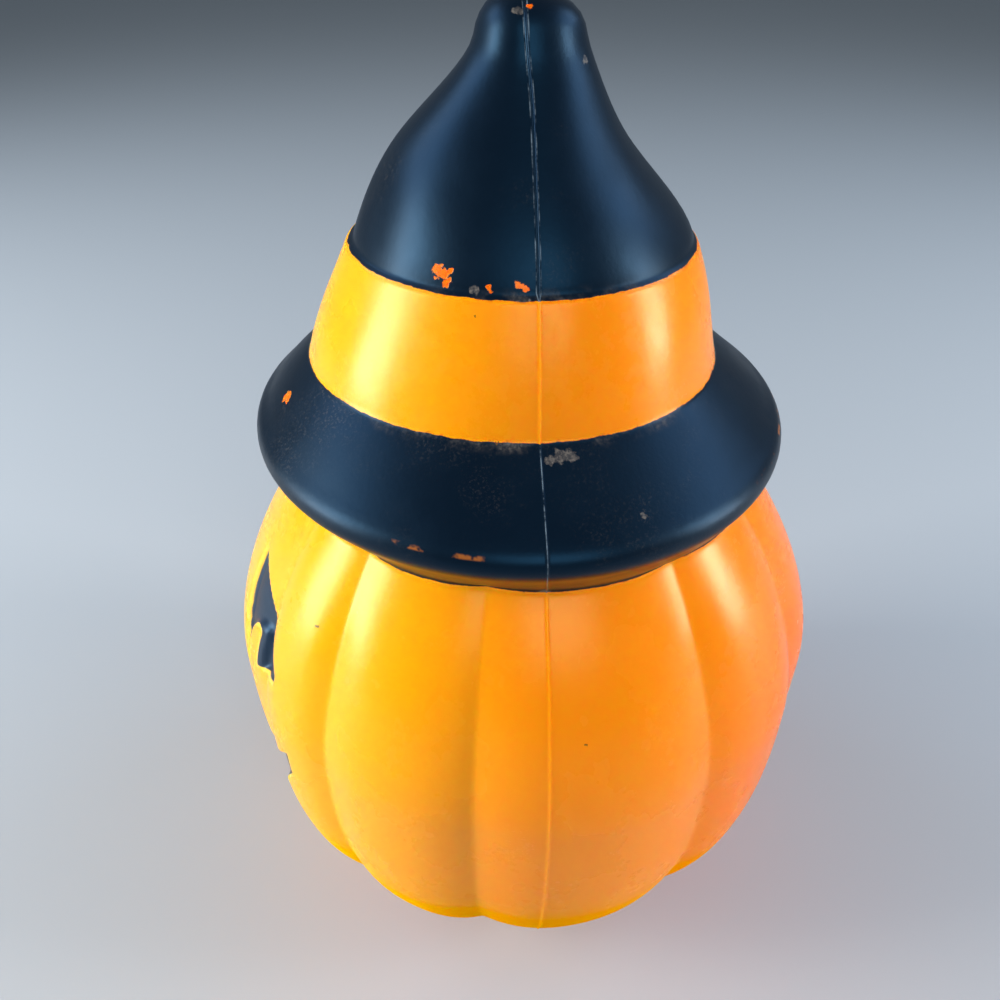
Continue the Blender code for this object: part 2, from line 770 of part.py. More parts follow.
def circle(radius_at, place):
    points = []
    for i in range(THREAD_COLUMNS):
        turn = 2 * math.pi * i / THREAD_COLUMNS
        radius = radius_at(turn)
        points.append((radius * math.cos(turn), radius * math.sin(turn), place))
    return points


def make_shell(brass, axis):
    # a rolled cup: its inner skin follows the cap's thread one clearance outside it
    low = CLEARANCE + SHELL_BASE
    high = CLEARANCE + SHELL_LENGTH
    inner_mean = THREAD_MEAN_RADIUS + CLEARANCE
    major = inner_mean + THREAD_WAVE

    def skin(extra):
        rings = []
        for place in thread_places(low, high):
            rings.append(
                circle(
                    lambda turn, p=place: thread_radius(
                        inner_mean, turn, p, low, high, major
                    )
                    + extra,
                    place,
                )
            )
        return rings

    rings = [circle(lambda turn: SHELL_BASE_HOLE, low)]
    rings += skin(0)
    rings += list(reversed(skin(SHELL_WALL)))
    rings.append(circle(lambda turn: major + SHELL_WALL, CLEARANCE))
    rings.append(circle(lambda turn: SHELL_BASE_HOLE, CLEARANCE))
    shell = ring_mesh("socket_shell", rings, brass, axis)
    drill(shell, SHELL_RIVET_X, axis, RIVET_RADIUS + CLEARANCE)
    return shell


def make_rivet(name, x, front, metal, axis):
    # heads on both sides of what it holds, each one clearance off
    back = -DISC_THICKNESS - CLEARANCE
    top = front + CLEARANCE
    profile = [
        (0, back - RIVET_HEAD),
        (RIVET_HEAD_RADIUS, back - RIVET_HEAD),
        (RIVET_HEAD_RADIUS, back),
        (RIVET_RADIUS, back),
        (RIVET_RADIUS, top),
        (RIVET_HEAD_RADIUS, top),
        (RIVET_HEAD_RADIUS, top + RIVET_HEAD),
        (0, top + RIVET_HEAD),
    ]
    rivet = turned(name, profile, metal, axis, SMALL_SIDES)
    rivet.location = (x, 0, 0)
    return rivet


def make_contact(brass, axis):
    # a leaf riveted at one end, whose other end springs up to meet the bulb's tip
    half = CONTACT_LENGTH / 2
    line = [
        (-half, CLEARANCE),
        (0.0, CLEARANCE),
        (half * CONTACT_RAMP_SHARE, CLEARANCE + CONTACT_RISE),
        (half, CLEARANCE + CONTACT_RISE),
    ]
    bm = bmesh.new()
    wide = CONTACT_WIDTH / 2
    outline = line + [(x, place + CONTACT_THICKNESS) for x, place in reversed(line)]
    near = [bm.verts.new((x, -wide, place)) for x, place in outline]
    far = [bm.verts.new((x, wide, place)) for x, place in outline]
    bm.faces.new(near)
    bm.faces.new(list(reversed(far)))
    for i in range(len(outline)):
        j = (i + 1) % len(outline)
        bm.faces.new((near[i], far[i], far[j], near[j]))
    bmesh.ops.triangulate(bm, faces=bm.faces)
    contact = object_from("centre_contact", mesh_from("centre_contact", bm), brass)
    contact.parent = axis
    drill(contact, CONTACT_RIVET_X, axis, RIVET_RADIUS + CLEARANCE)
    return contact


def tip_low():
    return 2 * CLEARANCE + CONTACT_RISE + CONTACT_THICKNESS


def make_tip(solder, axis):
    low = tip_low()
    profile = [
        (0, low),
        (TIP_FACE_RADIUS, low),
        (TIP_RADIUS, low + TIP_THICKNESS / 2),
        (TIP_RADIUS, low + TIP_THICKNESS),
        (0, low + TIP_THICKNESS),
    ]
    return turned("tip_contact", profile, solder, axis, SMALL_SIDES)


def make_cap_insulator(glass_black, axis):
    low = tip_low() + TIP_THICKNESS + CLEARANCE
    radius = CAP_BORE_RADIUS - CLEARANCE
    top = CAP_FOOT + CAP_INSULATOR_INSIDE
    profile = [(0, low), (TIP_RADIUS, low), (radius, CAP_FOOT), (radius, top), (0, top)]
    return turned("cap_insulator", profile, glass_black, axis)


def make_cap(nickel, axis):
    # a threaded tube whose flared rim holds the glass
    minor = THREAD_MEAN_RADIUS - THREAD_WAVE
    end = CAP_FOOT + CAP_LENGTH
    rim = end - CAP_RIM_HEIGHT
    rings = []
    for place in thread_places(CAP_FOOT, CAP_THREAD_END):
        rings.append(
            circle(
                lambda turn, p=place: thread_radius(
                    THREAD_MEAN_RADIUS, turn, p, CAP_FOOT, CAP_THREAD_END, minor
                ),
                place,
            )
        )
    plain = [
        (minor, rim),
        (CAP_RIM_RADIUS, end - CAP_RIM_LIP),
        (CAP_RIM_RADIUS, end),
        (CAP_RIM_BORE, end),
        (CAP_BORE_RADIUS, rim),
        (CAP_BORE_RADIUS, CAP_FOOT),
    ]
    for radius, place in plain:
        rings.append(circle(lambda turn, r=radius: r, place))
    return ring_mesh("bulb_cap", rings, nickel, axis)


def glass_radius(place):
    # a straight neck, a swelling cone and a pointed round tip
    neck_end = CAP_FOOT + CAP_LENGTH
    if place <= neck_end:
        return GLASS_NECK_RADIUS
    if place <= GLASS_WIDEST:
        share = ease(place, neck_end, GLASS_WIDEST)
        return GLASS_NECK_RADIUS + (GLASS_RADIUS - GLASS_NECK_RADIUS) * share
    share = (place - GLASS_WIDEST) / (GLASS_TOP - GLASS_WIDEST)
    return GLASS_RADIUS * (1 - share**GLASS_TIP_POWER) ** GLASS_ROUND_POWER


def make_glass(clear, axis, steps=12):
    # hollow, and open at the neck that the cap holds
    places = [GLASS_NECK_LOW]
    neck_end = CAP_FOOT + CAP_LENGTH
    places += [neck_end + (GLASS_TOP - neck_end) * i / steps for i in range(steps)]
    outer = [(glass_radius(place), place) for place in places]
    outer.append((glass_radius(GLASS_TOP - GLASS_WALL), GLASS_TOP - GLASS_WALL / 2))
    inner = [(glass_radius(place) - GLASS_WALL, place) for place in places]
    profile = outer + [(0, GLASS_TOP), (0, GLASS_TOP - GLASS_TIP_WALL)]
    profile += list(reversed(inner))
    return turned("bulb_glass", profile, clear, axis, SMALL_SIDES)


def make_stem(clear, axis):
    low = GLASS_NECK_LOW
    profile = [
        (0, low),
        (STEM_RADIUS, low),
        (STEM_RADIUS, low + STEM_FOOT),
        (STEM_TOP_RADIUS, low + STEM_FOOT + STEM_TAPER),
        (STEM_TOP_RADIUS, STEM_TOP),
        (0, STEM_TOP),
    ]
    return turned("glass_stem", profile, clear, axis, SMALL_SIDES)


def wire(name, points, radius, metal, axis):
    curve = bpy.data.curves.new(name, "CURVE")
    curve.dimensions = "3D"
    curve.bevel_depth = radius
    curve.bevel_resolution = 1
    curve.use_fill_caps = True
    spline = curve.splines.new("POLY")
    spline.points.add(len(points) - 1)
    for place, point in zip(spline.points, points):
        place.co = (*point, 1)
    curve.materials.append(metal)
    made = bpy.data.objects.new(name, curve)
    bpy.context.scene.collection.objects.link(made)
    made.parent = axis
    return made


def make_wires(metal, axis):
    foot = STEM_TOP + CLEARANCE
    for side, word in ((1, "left"), (-1, "right")):
        points = [
            (side * WIRE_FOOT_X, 0, foot),
            (side * WIRE_FOOT_X, 0, foot + WIRE_STRAIGHT),
            (side * WIRE_TOP_X, 0, WIRE_TOP - WIRE_STRAIGHT),
            (side * WIRE_TOP_X, 0, WIRE_TOP),
        ]
        wire(f"lead_wire_{word}", points, WIRE_RADIUS, metal, axis)


def make_filament(metal, axis, steps=10):
    # a low arch from one lead's end to the other's
    low = WIRE_TOP + CLEARANCE + FILAMENT_RADIUS
    points = []
    for i in range(steps + 1):
        turn = math.pi * i / steps
        rise = FILAMENT_RISE * math.sin(turn)
        points.append((WIRE_TOP_X * math.cos(turn), 0, low + rise))
    wire("filament", points, FILAMENT_RADIUS, metal, axis)


def main():
    for old in list(bpy.data.objects):
        bpy.data.objects.remove(old)
    orange = material("orange_plastic", (0.92, 0.27, 0.01), 0.22)
    black = material("black_paint", (0.006, 0.007, 0.01), 0.28)
    make_moulded_body(orange, black)

    axis = light_axis()
    plastic = material("socket_plastic", (0.01, 0.01, 0.01), 0.4)
    steel = material("spring_steel", (0.55, 0.56, 0.58), 0.3, 1.0)
    brass = material("socket_brass", (0.72, 0.5, 0.2), 0.3, 1.0)
    fibre = material("fibre_disc", (0.25, 0.12, 0.06), 0.7)
    nickel = material("cap_nickel", (0.6, 0.58, 0.52), 0.3, 1.0)
    solder = material("tip_solder", (0.5, 0.5, 0.5), 0.35, 1.0)
    glass_black = material("cap_glass", (0.01, 0.01, 0.012), 0.15)
    clear = material("clear_glass", (0.95, 0.95, 0.95), 0.02, 0.0, 0.3)
    lead = material("lead_metal", (0.5, 0.45, 0.4), 0.35, 1.0)
    make_housing(plastic, axis)
    for word, side in (("left", 1), ("right", -1)):
        make_clip(word, side, steel, axis)
    make_disc(fibre, axis)
    make_shell(brass, axis)
    make_contact(brass, axis)
    make_rivet("centre_rivet", CONTACT_RIVET_X, CLEARANCE + CONTACT_THICKNESS, brass, axis)
    make_rivet("shell_rivet", SHELL_RIVET_X, CLEARANCE + SHELL_BASE, brass, axis)
    make_tip(solder, axis)
    make_cap_insulator(glass_black, axis)
    make_cap(nickel, axis)
    make_glass(clear, axis)
    make_stem(clear, axis)
    make_wires(lead, axis)
    make_filament(lead, axis)


main()
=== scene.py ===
import math
import bmesh
import bpy
import numpy as np
from mathutils import Matrix, Vector


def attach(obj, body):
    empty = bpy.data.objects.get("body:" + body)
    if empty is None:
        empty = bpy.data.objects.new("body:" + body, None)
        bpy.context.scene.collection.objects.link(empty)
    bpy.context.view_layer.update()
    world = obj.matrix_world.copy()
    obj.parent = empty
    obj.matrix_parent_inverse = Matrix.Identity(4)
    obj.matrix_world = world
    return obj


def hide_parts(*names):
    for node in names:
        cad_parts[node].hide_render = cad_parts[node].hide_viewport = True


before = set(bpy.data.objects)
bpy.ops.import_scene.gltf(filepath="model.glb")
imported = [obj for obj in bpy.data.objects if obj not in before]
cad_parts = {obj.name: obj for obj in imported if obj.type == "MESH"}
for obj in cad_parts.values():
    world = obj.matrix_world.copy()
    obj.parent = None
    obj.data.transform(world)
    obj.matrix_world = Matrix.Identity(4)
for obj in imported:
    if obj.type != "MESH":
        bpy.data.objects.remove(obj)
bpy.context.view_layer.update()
mm = 0.001  # every shape below is written in millimetres
print("frame loaded")


# shared helpers
def smoothStep(x, low, high):
    # 0 below low, 1 above high, level at both ends
    t = np.clip((x - low) / (high - low), 0.0, 1.0)
    return t * t * (3 - 2 * t)


def unit(vectors):
    return vectors / (np.linalg.norm(vectors, axis=-1, keepdims=True) + 1e-12)


def fullTurn(count):
    return np.linspace(0, 2 * math.pi, count, endpoint=False)


def newObject(name, data):
    made = bpy.data.objects.new(name, data)
    bpy.context.scene.collection.objects.link(made)
    return made


def linkPiece(name, mesh, body, replaced, slot):
    mesh.shade_smooth()
    piece = newObject(name, mesh)
    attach(piece, body)
    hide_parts(*replaced)
    return piece


def meshOf(name, points, faces):
    # points in millimetres, faces as rows of point numbers
    mesh = bpy.data.meshes.new(name)
    mesh.from_pydata((np.asarray(points) * mm).tolist(), [], faces)
    mesh.update()
    return mesh


def gridFaces(rows, columns, first=0, flip=False):
    # four-sided faces of a grid of points, row by row, with the last column joined to the first
    i = np.arange(rows - 1)[:, None] * columns
    j = np.arange(columns)[None, :]
    k = (j + 1) % columns
    quads = np.stack([i + j, i + k, i + columns + k, i + columns + j], -1)
    quads = quads.reshape(-1, 4) + first
    return (quads[:, ::-1] if flip else quads).tolist()


def evenSteps(low, high, spacing):
    # places from low to high whose steps follow spacing(place)
    fine = np.linspace(low, high, 6000)
    middles = (fine[1:] + fine[:-1]) / 2
    count = np.concatenate([[0], np.cumsum(np.diff(fine) / spacing(middles))])
    total = int(round(count[-1]))
    return np.interp(np.arange(total + 1) / total * count[-1], count, fine)


# camera
cameraSet = {
    "lensMm": 30.6,
    "sensorMm": 36.0,
    "nearestMm": 10.0,
    "reach": 206.25,  # from the pumpkin's axis
    "height": 290.66,
    "pitchDeg": 36.0,  # downwards
    "turnRad": -0.0341,
    "sideDeg": 5.17,  # from the parting line towards the face
}
sideAngle = math.radians(cameraSet["sideDeg"])
pitch = math.radians(cameraSet["pitchDeg"])
aside = cameraSet["turnRad"]
towards = Vector((math.cos(sideAngle), -math.sin(sideAngle), 0))  # from the axis to the camera
acrossFlat = Vector((math.sin(sideAngle), math.cos(sideAngle), 0))
across = acrossFlat * math.cos(aside) + towards * math.sin(aside)
level = acrossFlat * math.sin(aside) - towards * math.cos(aside)
forward = level * math.cos(pitch) - Vector((0, 0, math.sin(pitch)))
upward = level * math.sin(pitch) + Vector((0, 0, math.cos(pitch)))
cameraData = bpy.data.cameras.new("camera")
cameraData.lens = cameraSet["lensMm"]
cameraData.sensor_width = cameraSet["sensorMm"]
cameraData.clip_start = cameraSet["nearestMm"] * mm
camera = newObject("camera", cameraData)
place = (towards * cameraSet["reach"] + Vector((0, 0, cameraSet["height"]))) * mm
facing = Matrix((across, upward, -forward)).transposed().to_4x4()
camera.matrix_world = Matrix.Translation(place) @ facing
bpy.context.scene.camera = camera
bpy.context.scene.view_settings.view_transform = "Standard"
bpy.context.scene.view_settings.look = "None"
print("camera done")


# materials: small makers for nodes
def newMaterial(name):
    made = bpy.data.materials.new(name)
    made.use_nodes = True
    return made, made.node_tree, made.node_tree.nodes["Principled BSDF"]


def feed(tree, node, inputs):
    # another node's output is linked to the input, anything else is its plain value
    for key, value in inputs.items():
        if isinstance(value, bpy.types.NodeSocket):
            tree.links.new(value, node.inputs[key])
        else:
            node.inputs[key].default_value = value


def addNode(tree, kind, inputs={}, **settings):
    made = tree.nodes.new(kind)
    for key, value in settings.items():
        setattr(made, key, value)
    feed(tree, made, inputs)
    return made


def sums(tree, operation, first, second=0.0, third=None, clamp=False):
    inputs = {0: first, 1: second}
    if third is not None:
        inputs[2] = third
    return addNode(tree, "ShaderNodeMath", inputs, operation=operation, use_clamp=clamp).outputs[0]


def vectorSums(tree, operation, inputs):
    return addNode(tree, "ShaderNodeVectorMath", inputs, operation=operation).outputs


def ramp(tree, value, low, high, lowTo=0.0, highTo=1.0):
    # smooth change from lowTo to highTo as value goes from low to high
    inputs = {0: value, 1: low, 2: high, 3: lowTo, 4: highTo}
    return addNode(tree, "ShaderNodeMapRange", inputs, interpolation_type="SMOOTHSTEP").outputs[0]


def mixed(tree, factor, first, second):
    inputs = {0: factor, 6: first, 7: second}
    return addNode(tree, "ShaderNodeMix", inputs, data_type="RGBA").outputs[2]


def noise(tree, places, scale, detail, roughness):
    inputs = {"Vector": places, "Scale": scale, "Detail": detail, "Roughness": roughness}
    return addNode(tree, "ShaderNodeTexNoise", inputs).outputs[0]


def objectPlaces(tree):
    return addNode(tree, "ShaderNodeTexCoord").outputs["Object"]


def bumped(tree, height, distanceMm, strength):
    inputs = {"Height": height, "Distance": distanceMm * mm, "Strength": strength}
    return addNode(tree, "ShaderNodeBump", inputs).outputs[0]


# the moulding: pumpkin, brim, band and crown in one hollow skin
pumpkinSet = {
    "radius": 87.7,
    "widest": 101.2,  # height of the widest ring
    "lowerReach": 106.5,  # from there to where the lower half would close
    "lowerDrop": 2.75,
    "lowerWidth": 1.97,
    "upperReach": 113.0,
    "upperRise": 1.82,
    "upperWidth": 1.06,
    "baseRise": 1.2,  # the base is drawn in inside its ring
    "baseRing": (19, 26),
    "grooves": (-63.0, -42.0, -12.7, 30.5, 61.0),  # degrees from the parting line, to the back
    "grooveDepth": 3.2,
    "grooveSharpness": 2.6,
    "grooveRound": 0.5,  # degrees
    "grooveStart": 16,  # height where a groove is fully deep
    "grooveFade": (40, 0.55),  # below the crease, and the share of the depth that goes
    "grooveEnd": (-0.5, 5),  # along the profile from the crease
    "wall": 2.0,
    "seamHeight": 0.26,
    "seamWidth": 0.26,
    "seamStart": (2, 8),  # radii between which the parting line's ridge rises
    "poleGap": 0.8,  # from the skin's first and last ring to the axis
    "sharpDeg": 75,
}
hatSet = {
    "crease": 160.4,
    "brimRadius": 74.9,
    "brimShare": 0.93,  # the brim's reach to face and back against its reach to the sides
    "brimHeight": 176.5,
    "lip": 5.0,
    "brimShift": -2.3,
    "bandFoot": (52.3, 193.8, -4.0),  # radius, height, shift towards the back
    "bandTop": (42.6, 221.2, -1.8),
    "bandBulge": 0.7,
    "crownFoot": (40.9, 222.3, -1.5),
    "crownBend": (243.0, -4.3),  # height, shift
    "neck": (12.2, 264.4, -0.5),
    "spread": 1.33,
    "taper": 1.31,
    "tip": 273.5,
    "tipEven": 13,  # inside this radius the halves get equally deep
    "seam": ((160.4, 0.0), (176.5, -1.5), (250.0, -1.35), (271.0, -2.6)),  # height, shift
}
profileSet = {
    "step": 0.25,
    "softRound": 1.3,
    "crispRound": 0.45,
    "crispReach": (4, 8),  # from the edges of the band
    "counts": (40, 120, 90, 24, 30, 90, 30),  # points of each stretch, from the base up
}


def pumpkinRadius(z):
    # two half ovals with exponents of their own, which meet at the widest ring
    p = pumpkinSet
    drop = np.clip((p["widest"] - z) / p["lowerReach"], 0, 1) ** p["lowerDrop"]
    rise = np.clip((z - p["widest"]) / p["upperReach"], 0, 1) ** p["upperRise"]
    lower = (1 - drop) ** (1 / p["lowerWidth"])
    upper = (1 - rise) ** (1 / p["upperWidth"])
    return p["radius"] * np.where(z < p["widest"], lower, upper)


def eased(z, pairs):
    # level at each (height, value) pair and smooth between them
    made = np.full(np.shape(z), float(pairs[0][1]))
    for (low, first), (high, second) in zip(pairs, pairs[1:]):
        made = made + (second - first) * smoothStep(z, low, high)
    return made


def hatShift(z):
    # how far the middle of a ring's depth lies behind the axis
    h = hatSet
    pairs = [(h["crease"], 0), (h["brimHeight"], h["brimShift"]), h["bandFoot"][1:]]
    pairs += [h["bandTop"][1:], h["crownFoot"][1:], h["crownBend"], h["neck"][1:]]
    return eased(z, pairs)


def seamShift(z):
    # where the parting line runs, nearly straight up through the hat
    return eased(z, hatSet["seam"])


def hatShare(z):
    # a ring's reach to face and back against its reach to the sides
    h = hatSet
    places = [h["crease"], h["brimHeight"] - h["lip"], h["brimHeight"] + h["lip"], h["bandFoot"][1]]
    return np.interp(z, places, [1, h["brimShare"], h["brimShare"], 1])


def mouldProfile():
    # radius and height from the middle of the base to the tip in even steps, with the corners
    # rounded by a running weighted mean; marks gives the places along it where the parts meet
    p, h, step, counts = pumpkinSet, hatSet, profileSet["step"], iter(profileSet["counts"])
    baseRadius, creaseRadius = (float(pumpkinRadius(np.array(z))) for z in (0.0, h["crease"]))
    r = np.linspace(0, baseRadius, next(counts))
    runs = [np.stack([r, p["baseRise"] * (1 - smoothStep(r, *p["baseRing"]))], -1)]
    turn = np.linspace(math.asin(p["widest"] / p["lowerReach"]), 0, next(counts))[1:]
    z = p["widest"] - p["lowerReach"] * np.sin(turn)
    runs.append(np.stack([pumpkinRadius(z), z], -1))
    last = math.asin((h["crease"] - p["widest"]) / p["upperReach"])
    turn = np.linspace(0, last, next(counts))[1:]
    z = p["widest"] + p["upperReach"] * np.sin(turn)
    runs.append(np.stack([pumpkinRadius(z), z], -1))
    lipX = h["brimRadius"] - h["lip"]
    below = math.atan2(lipX - creaseRadius, h["brimHeight"] - h["crease"])
    above = math.atan2(lipX - h["bandFoot"][0], h["bandFoot"][1] - h["brimHeight"])
    turn = np.linspace(-below, above, next(counts))
    lipZ = h["brimHeight"] + h["lip"] * np.sin(turn)
    runs.append(np.stack([lipX + h["lip"] * np.cos(turn), lipZ], -1))
    t = np.linspace(0, 1, next(counts))[:, None]
    band = (1 - t) * np.array(h["bandFoot"][:2]) + t * np.array(h["bandTop"][:2])
    band[:, 0] += h["bandBulge"] * np.sin(math.pi * t[:, 0])
    runs.append(band)
    t = np.linspace(0, 1, next(counts))
    footRadius, footHeight = h["crownFoot"][:2]
    neckRadius, neckHeight = h["neck"][:2]
    radius = neckRadius + (footRadius - neckRadius) * (1 - t ** h["spread"]) ** h["taper"]
    runs.append(np.stack([radius, footHeight + (neckHeight - footHeight) * t], -1))
    turn = np.linspace(0, math.pi / 2, next(counts))[1:]
    tipZ = neckHeight + (h["tip"] - neckHeight) * np.sin(turn)
    runs.append(np.stack([neckRadius * np.cos(turn), tipZ], -1))
    line = np.concatenate(runs)
    along = np.concatenate([[0], np.cumsum(np.hypot(*np.diff(line, axis=0).T))])
    s = np.linspace(0, along[-1], int(along[-1] / step) + 1)
    even = np.stack([np.interp(s, along, line[:, k]) for k in range(2)], -1)

    def rounded(width):
        reach = int(4 * width / step)
        weight = np.exp(-0.5 * (np.arange(-reach, reach + 1) * step / width) ** 2)
        weight /= weight.sum()
        ends = even[reach:0:-1] * (-1, 1), even[-2:-reach - 2:-1] * (-1, 1)
        padded = np.concatenate([ends[0], even, ends[1]])
        return np.stack([np.convolve(padded[:, k], weight, "valid") for k in range(2)], -1)

    places = {"base": (baseRadius, 0), "crease": (creaseRadius, h["crease"]),
              "lip": (h["brimRadius"], h["brimHeight"])}
    places.update((name, h[name][:2]) for name in ("bandFoot", "bandTop", "crownFoot"))
    marks = {name: float(s[np.argmin(np.hypot(*(even - point).T))])
             for name, point in places.items()}
    fromBand = np.minimum(abs(s - marks["bandFoot"]), abs(s - marks["bandTop"]))
    crisp = 1 - smoothStep(fromBand, *profileSet["crispReach"])[:, None]
    soft, sharp = (rounded(profileSet[key]) for key in ("softRound", "crispRound"))
    line = soft * (1 - crisp) + sharp * crisp
    line[0, 0] = line[-1, 0] = 0.0
    return s, line, marks


profilePlaces, profileLine, marks = mouldProfile()

# the carved face, in the front view: x to the wearer's left, z up
faceSet = {
    "depth": 1.6,
    "wallRun": (-0.6, 1.3),  # from outside the outline to inside it, where the depth is reached
    "innerRun": (-5, -1),  # the same for the skin's inside, which sinks sooner
    "room": (-20, 35, 150),  # the face lies in front of the first and between the others
    "eyePeak": (17.0, 141.0),
    "eyeOuter": (47.3, 119.5),
    "footOuter": (46.9, 117.0),
    "footInner": (25.0, 105.0),
    "browBow": 1.5,
    "innerBow": 1.8,
    "pupil": (30.4, 4.4, 15.5),  # centre, half width, rise
    "pupilPaint": (29.0, 3.0, 15.0),  # what the dark paint leaves free of it
    "nose": (8.0, 86.0, 102.0, 0.8),  # half width, foot, peak, half width at the peak
    "mouthHalf": 54.0,
    "mouthMiddle": 57.0,
    "mouthCorner": 92.0,
    "mouthCurve": 2.1,
    "mouthOpening": (10.0, 4.5),  # half opening in the middle and at the corners
    "tooth": (6.0, 1.0, 8.0),  # half width, taper, length
    "toothGap": 0.5,  # from a tooth to the nearest point of the lip
    "upperTooth": 16.0,
    "bowCount": 20,
    "pupilCount": 26,
    "mouthCount": 61,
}
farAway = 30.0  # stands for every larger distance from an outline


def bowed(start, end, bow):
    # points from start to end, pushed to the left of the way by up to bow
    t = np.linspace(0, 1, faceSet["bowCount"], endpoint=False)[:, None]
    run = np.subtract(end, start)
    left = np.array([-run[1], run[0]]) / np.hypot(*run)
    return np.array(start) + t * run + left * bow * 4 * t * (1 - t)


def eyeOutline(sign, pupil):
    # brow, outer corner, foot with the pupil's round tongue, inner side
    f = faceSet
    brow = bowed(f["eyePeak"], f["eyeOuter"], f["browBow"])
    middle, half, rise = f[pupil]
    turn = np.linspace(0, math.pi, f["pupilCount"])
    x = middle + half * np.concatenate([[1], np.cos(turn), [-1]])
    lift = np.concatenate([[0], rise - half * (1 - np.sin(turn)), [0]])
    (outerX, outerZ), (innerX, innerZ) = f["footOuter"], f["footInner"]
    foot = innerZ + (outerZ - innerZ) * (x - innerX) / (outerX - innerX)
    tongue = np.stack([x, foot + lift], -1)
    inner = bowed(f["footInner"], f["eyePeak"], f["innerBow"])
    ends = np.array([f["eyeOuter"], f["footOuter"]])
    return np.concatenate([brow, ends, tongue, inner]) * (sign, 1)


def mouthOutline():
    # two lips on one curve, each with its square teeth
    f = faceSet

    def edge(x, sign):
        share = np.abs(x) / f["mouthHalf"]
        middle = f["mouthMiddle"] + (f["mouthCorner"] - f["mouthMiddle"]) * share ** f["mouthCurve"]
        wide, narrow = f["mouthOpening"]
        return middle + sign * (wide + (narrow - wide) * share ** 2)

    def lip(sign, teeth):
        half, taper, length = f["tooth"]
        x = np.linspace(-f["mouthHalf"], f["mouthHalf"], f["mouthCount"])
        for tooth in teeth:
            x = x[np.abs(x - tooth) > half + f["toothGap"]]
        points = np.stack([x, edge(x, sign)], -1)
        for tooth in teeth:
            left, right = tooth - half, tooth + half
            heights = edge(np.array([left, left, right, right]), sign)
            heights[1:3] -= sign * length
            corners = np.stack([[left, left + taper, right - taper, right], heights], -1)
            points = np.concatenate([points, corners])
        return points[np.argsort(points[:, 0], kind="stable")]

    return np.concatenate([lip(-1, [0.0]), lip(1, [-f["upperTooth"], f["upperTooth"]])[::-1]])


def outlineDistance(x, z, outline):
    # signed distance to a closed outline, negative inside: the least distance to its edges, with
    # the side told by how many edges lie to the right
    best = np.full(x.shape, 1e9)
    inside = np.zeros(x.shape, bool)
    for (ax, az), (bx, bz) in zip(outline, np.roll(outline, -1, axis=0)):
        dx, dz = bx - ax, bz - az
        t = np.clip(((x - ax) * dx + (z - az) * dz) / (dx * dx + dz * dz + 1e-12), 0, 1)
        best = np.minimum(best, np.hypot(x - ax - t * dx, z - az - t * dz))
        crosses = (az > z) != (bz > z)
        inside ^= crosses & (x < ax + (z - az) * dx / (dz if dz else 1e-12))
    return np.where(inside, -best, best)


def faceDistance(points, pupil="pupil"):
    # distance to the nearest eye, nose or mouth outline in the front view, far away on the back
    x, y, z = np.moveaxis(points, -1, 0)
    half, foot, peak, tip = faceSet["nose"]
    nose = np.array([[-half, foot], [half, foot], [tip, peak], [-tip, peak]])
    front, low, high = faceSet["room"]
    near = (y < front) & (z > low) & (z < high)
    best = np.full(int(near.sum()), farAway)
    for outline in (eyeOutline(1, pupil), eyeOutline(-1, pupil), nose, mouthOutline()):
        best = np.minimum(best, outlineDistance(x[near], z[near], outline))
    found = np.full(x.shape, farAway)
    found[near] = best
    return found


# the grooves of one side, the one at the back and their mirror images
grooveAngles = [*pumpkinSet["grooves"], 90.0]
grooveAngles += [180 - angle for angle in reversed(pumpkinSet["grooves"])]


def grooveShare(angle):
    # 1 in a groove and 0 on a lobe's crest, with a narrow rounded bottom; angle in degrees
    edges = np.array(grooveAngles + [grooveAngles[0] + 360])
    turned = (angle - edges[0]) % 360 + edges[0]
    index = np.clip(np.searchsorted(edges, turned, side="right") - 1, 0, len(edges) - 2)
    width = edges[index + 1] - edges[index]
    near = np.minimum(turned - edges[index], edges[index + 1] - turned)
    soft = pumpkinSet["grooveRound"]
    near = np.sqrt(near ** 2 + soft ** 2) - soft
    return np.clip(1 - 2 * near / width, 0, 1) ** pumpkinSet["grooveSharpness"]


def grooveDepth(s, z):
    reach, lost = pumpkinSet["grooveFade"]
    start, end = pumpkinSet["grooveEnd"]
    rising = smoothStep(z, 0, pumpkinSet["grooveStart"])
    fading = smoothStep(z, hatSet["crease"] - reach, hatSet["crease"])
    gone = smoothStep(s, marks["crease"] + start, marks["crease"] + end)
    return pumpkinSet["grooveDepth"] * rising * (1 - lost * fading) * (1 - gone)


def mouldGrid(s, angle, ridged):
    # a point for each place along the profile and each angle: the ring's radius less the groove,
    # turned about the axis, drawn into an oval at the brim and shifted; ridged adds the parting
    # line's ridge
    p = pumpkinSet
    r = np.interp(s, profilePlaces, profileLine[:, 0])[:, None]
    z = np.interp(s, profilePlaces, profileLine[:, 1])[:, None]
    turn = np.radians(angle)[None, :]
    reach = r - grooveDepth(s[:, None], z) * grooveShare(angle)[None, :]
    if ridged:
        fromSeam = np.abs((np.degrees(turn) + 90) % 180 - 90) * math.pi / 180 * r
        ridge = np.exp(-((fromSeam / p["seamWidth"]) ** 2)) * smoothStep(r, *p["seamStart"])
        reach = reach + p["seamHeight"] * ridge
    # the front and back halves of a ring reach unequally far from the parting line
    uneven = (hatShift(z) - seamShift(z)) * smoothStep(r, 0, hatSet["tipEven"])
    depth = reach * np.sin(turn) * hatShare(z) + np.abs(np.sin(turn)) * uneven
    return np.stack([reach * np.cos(turn), depth + seamShift(z), z + 0 * turn], -1)


def gridNormals(points):
    # outward directions from the differences between neighbours around and along
    around = np.roll(points, -1, axis=1) - np.roll(points, 1, axis=1)
    return unit(np.cross(around, np.gradient(points, axis=0)))


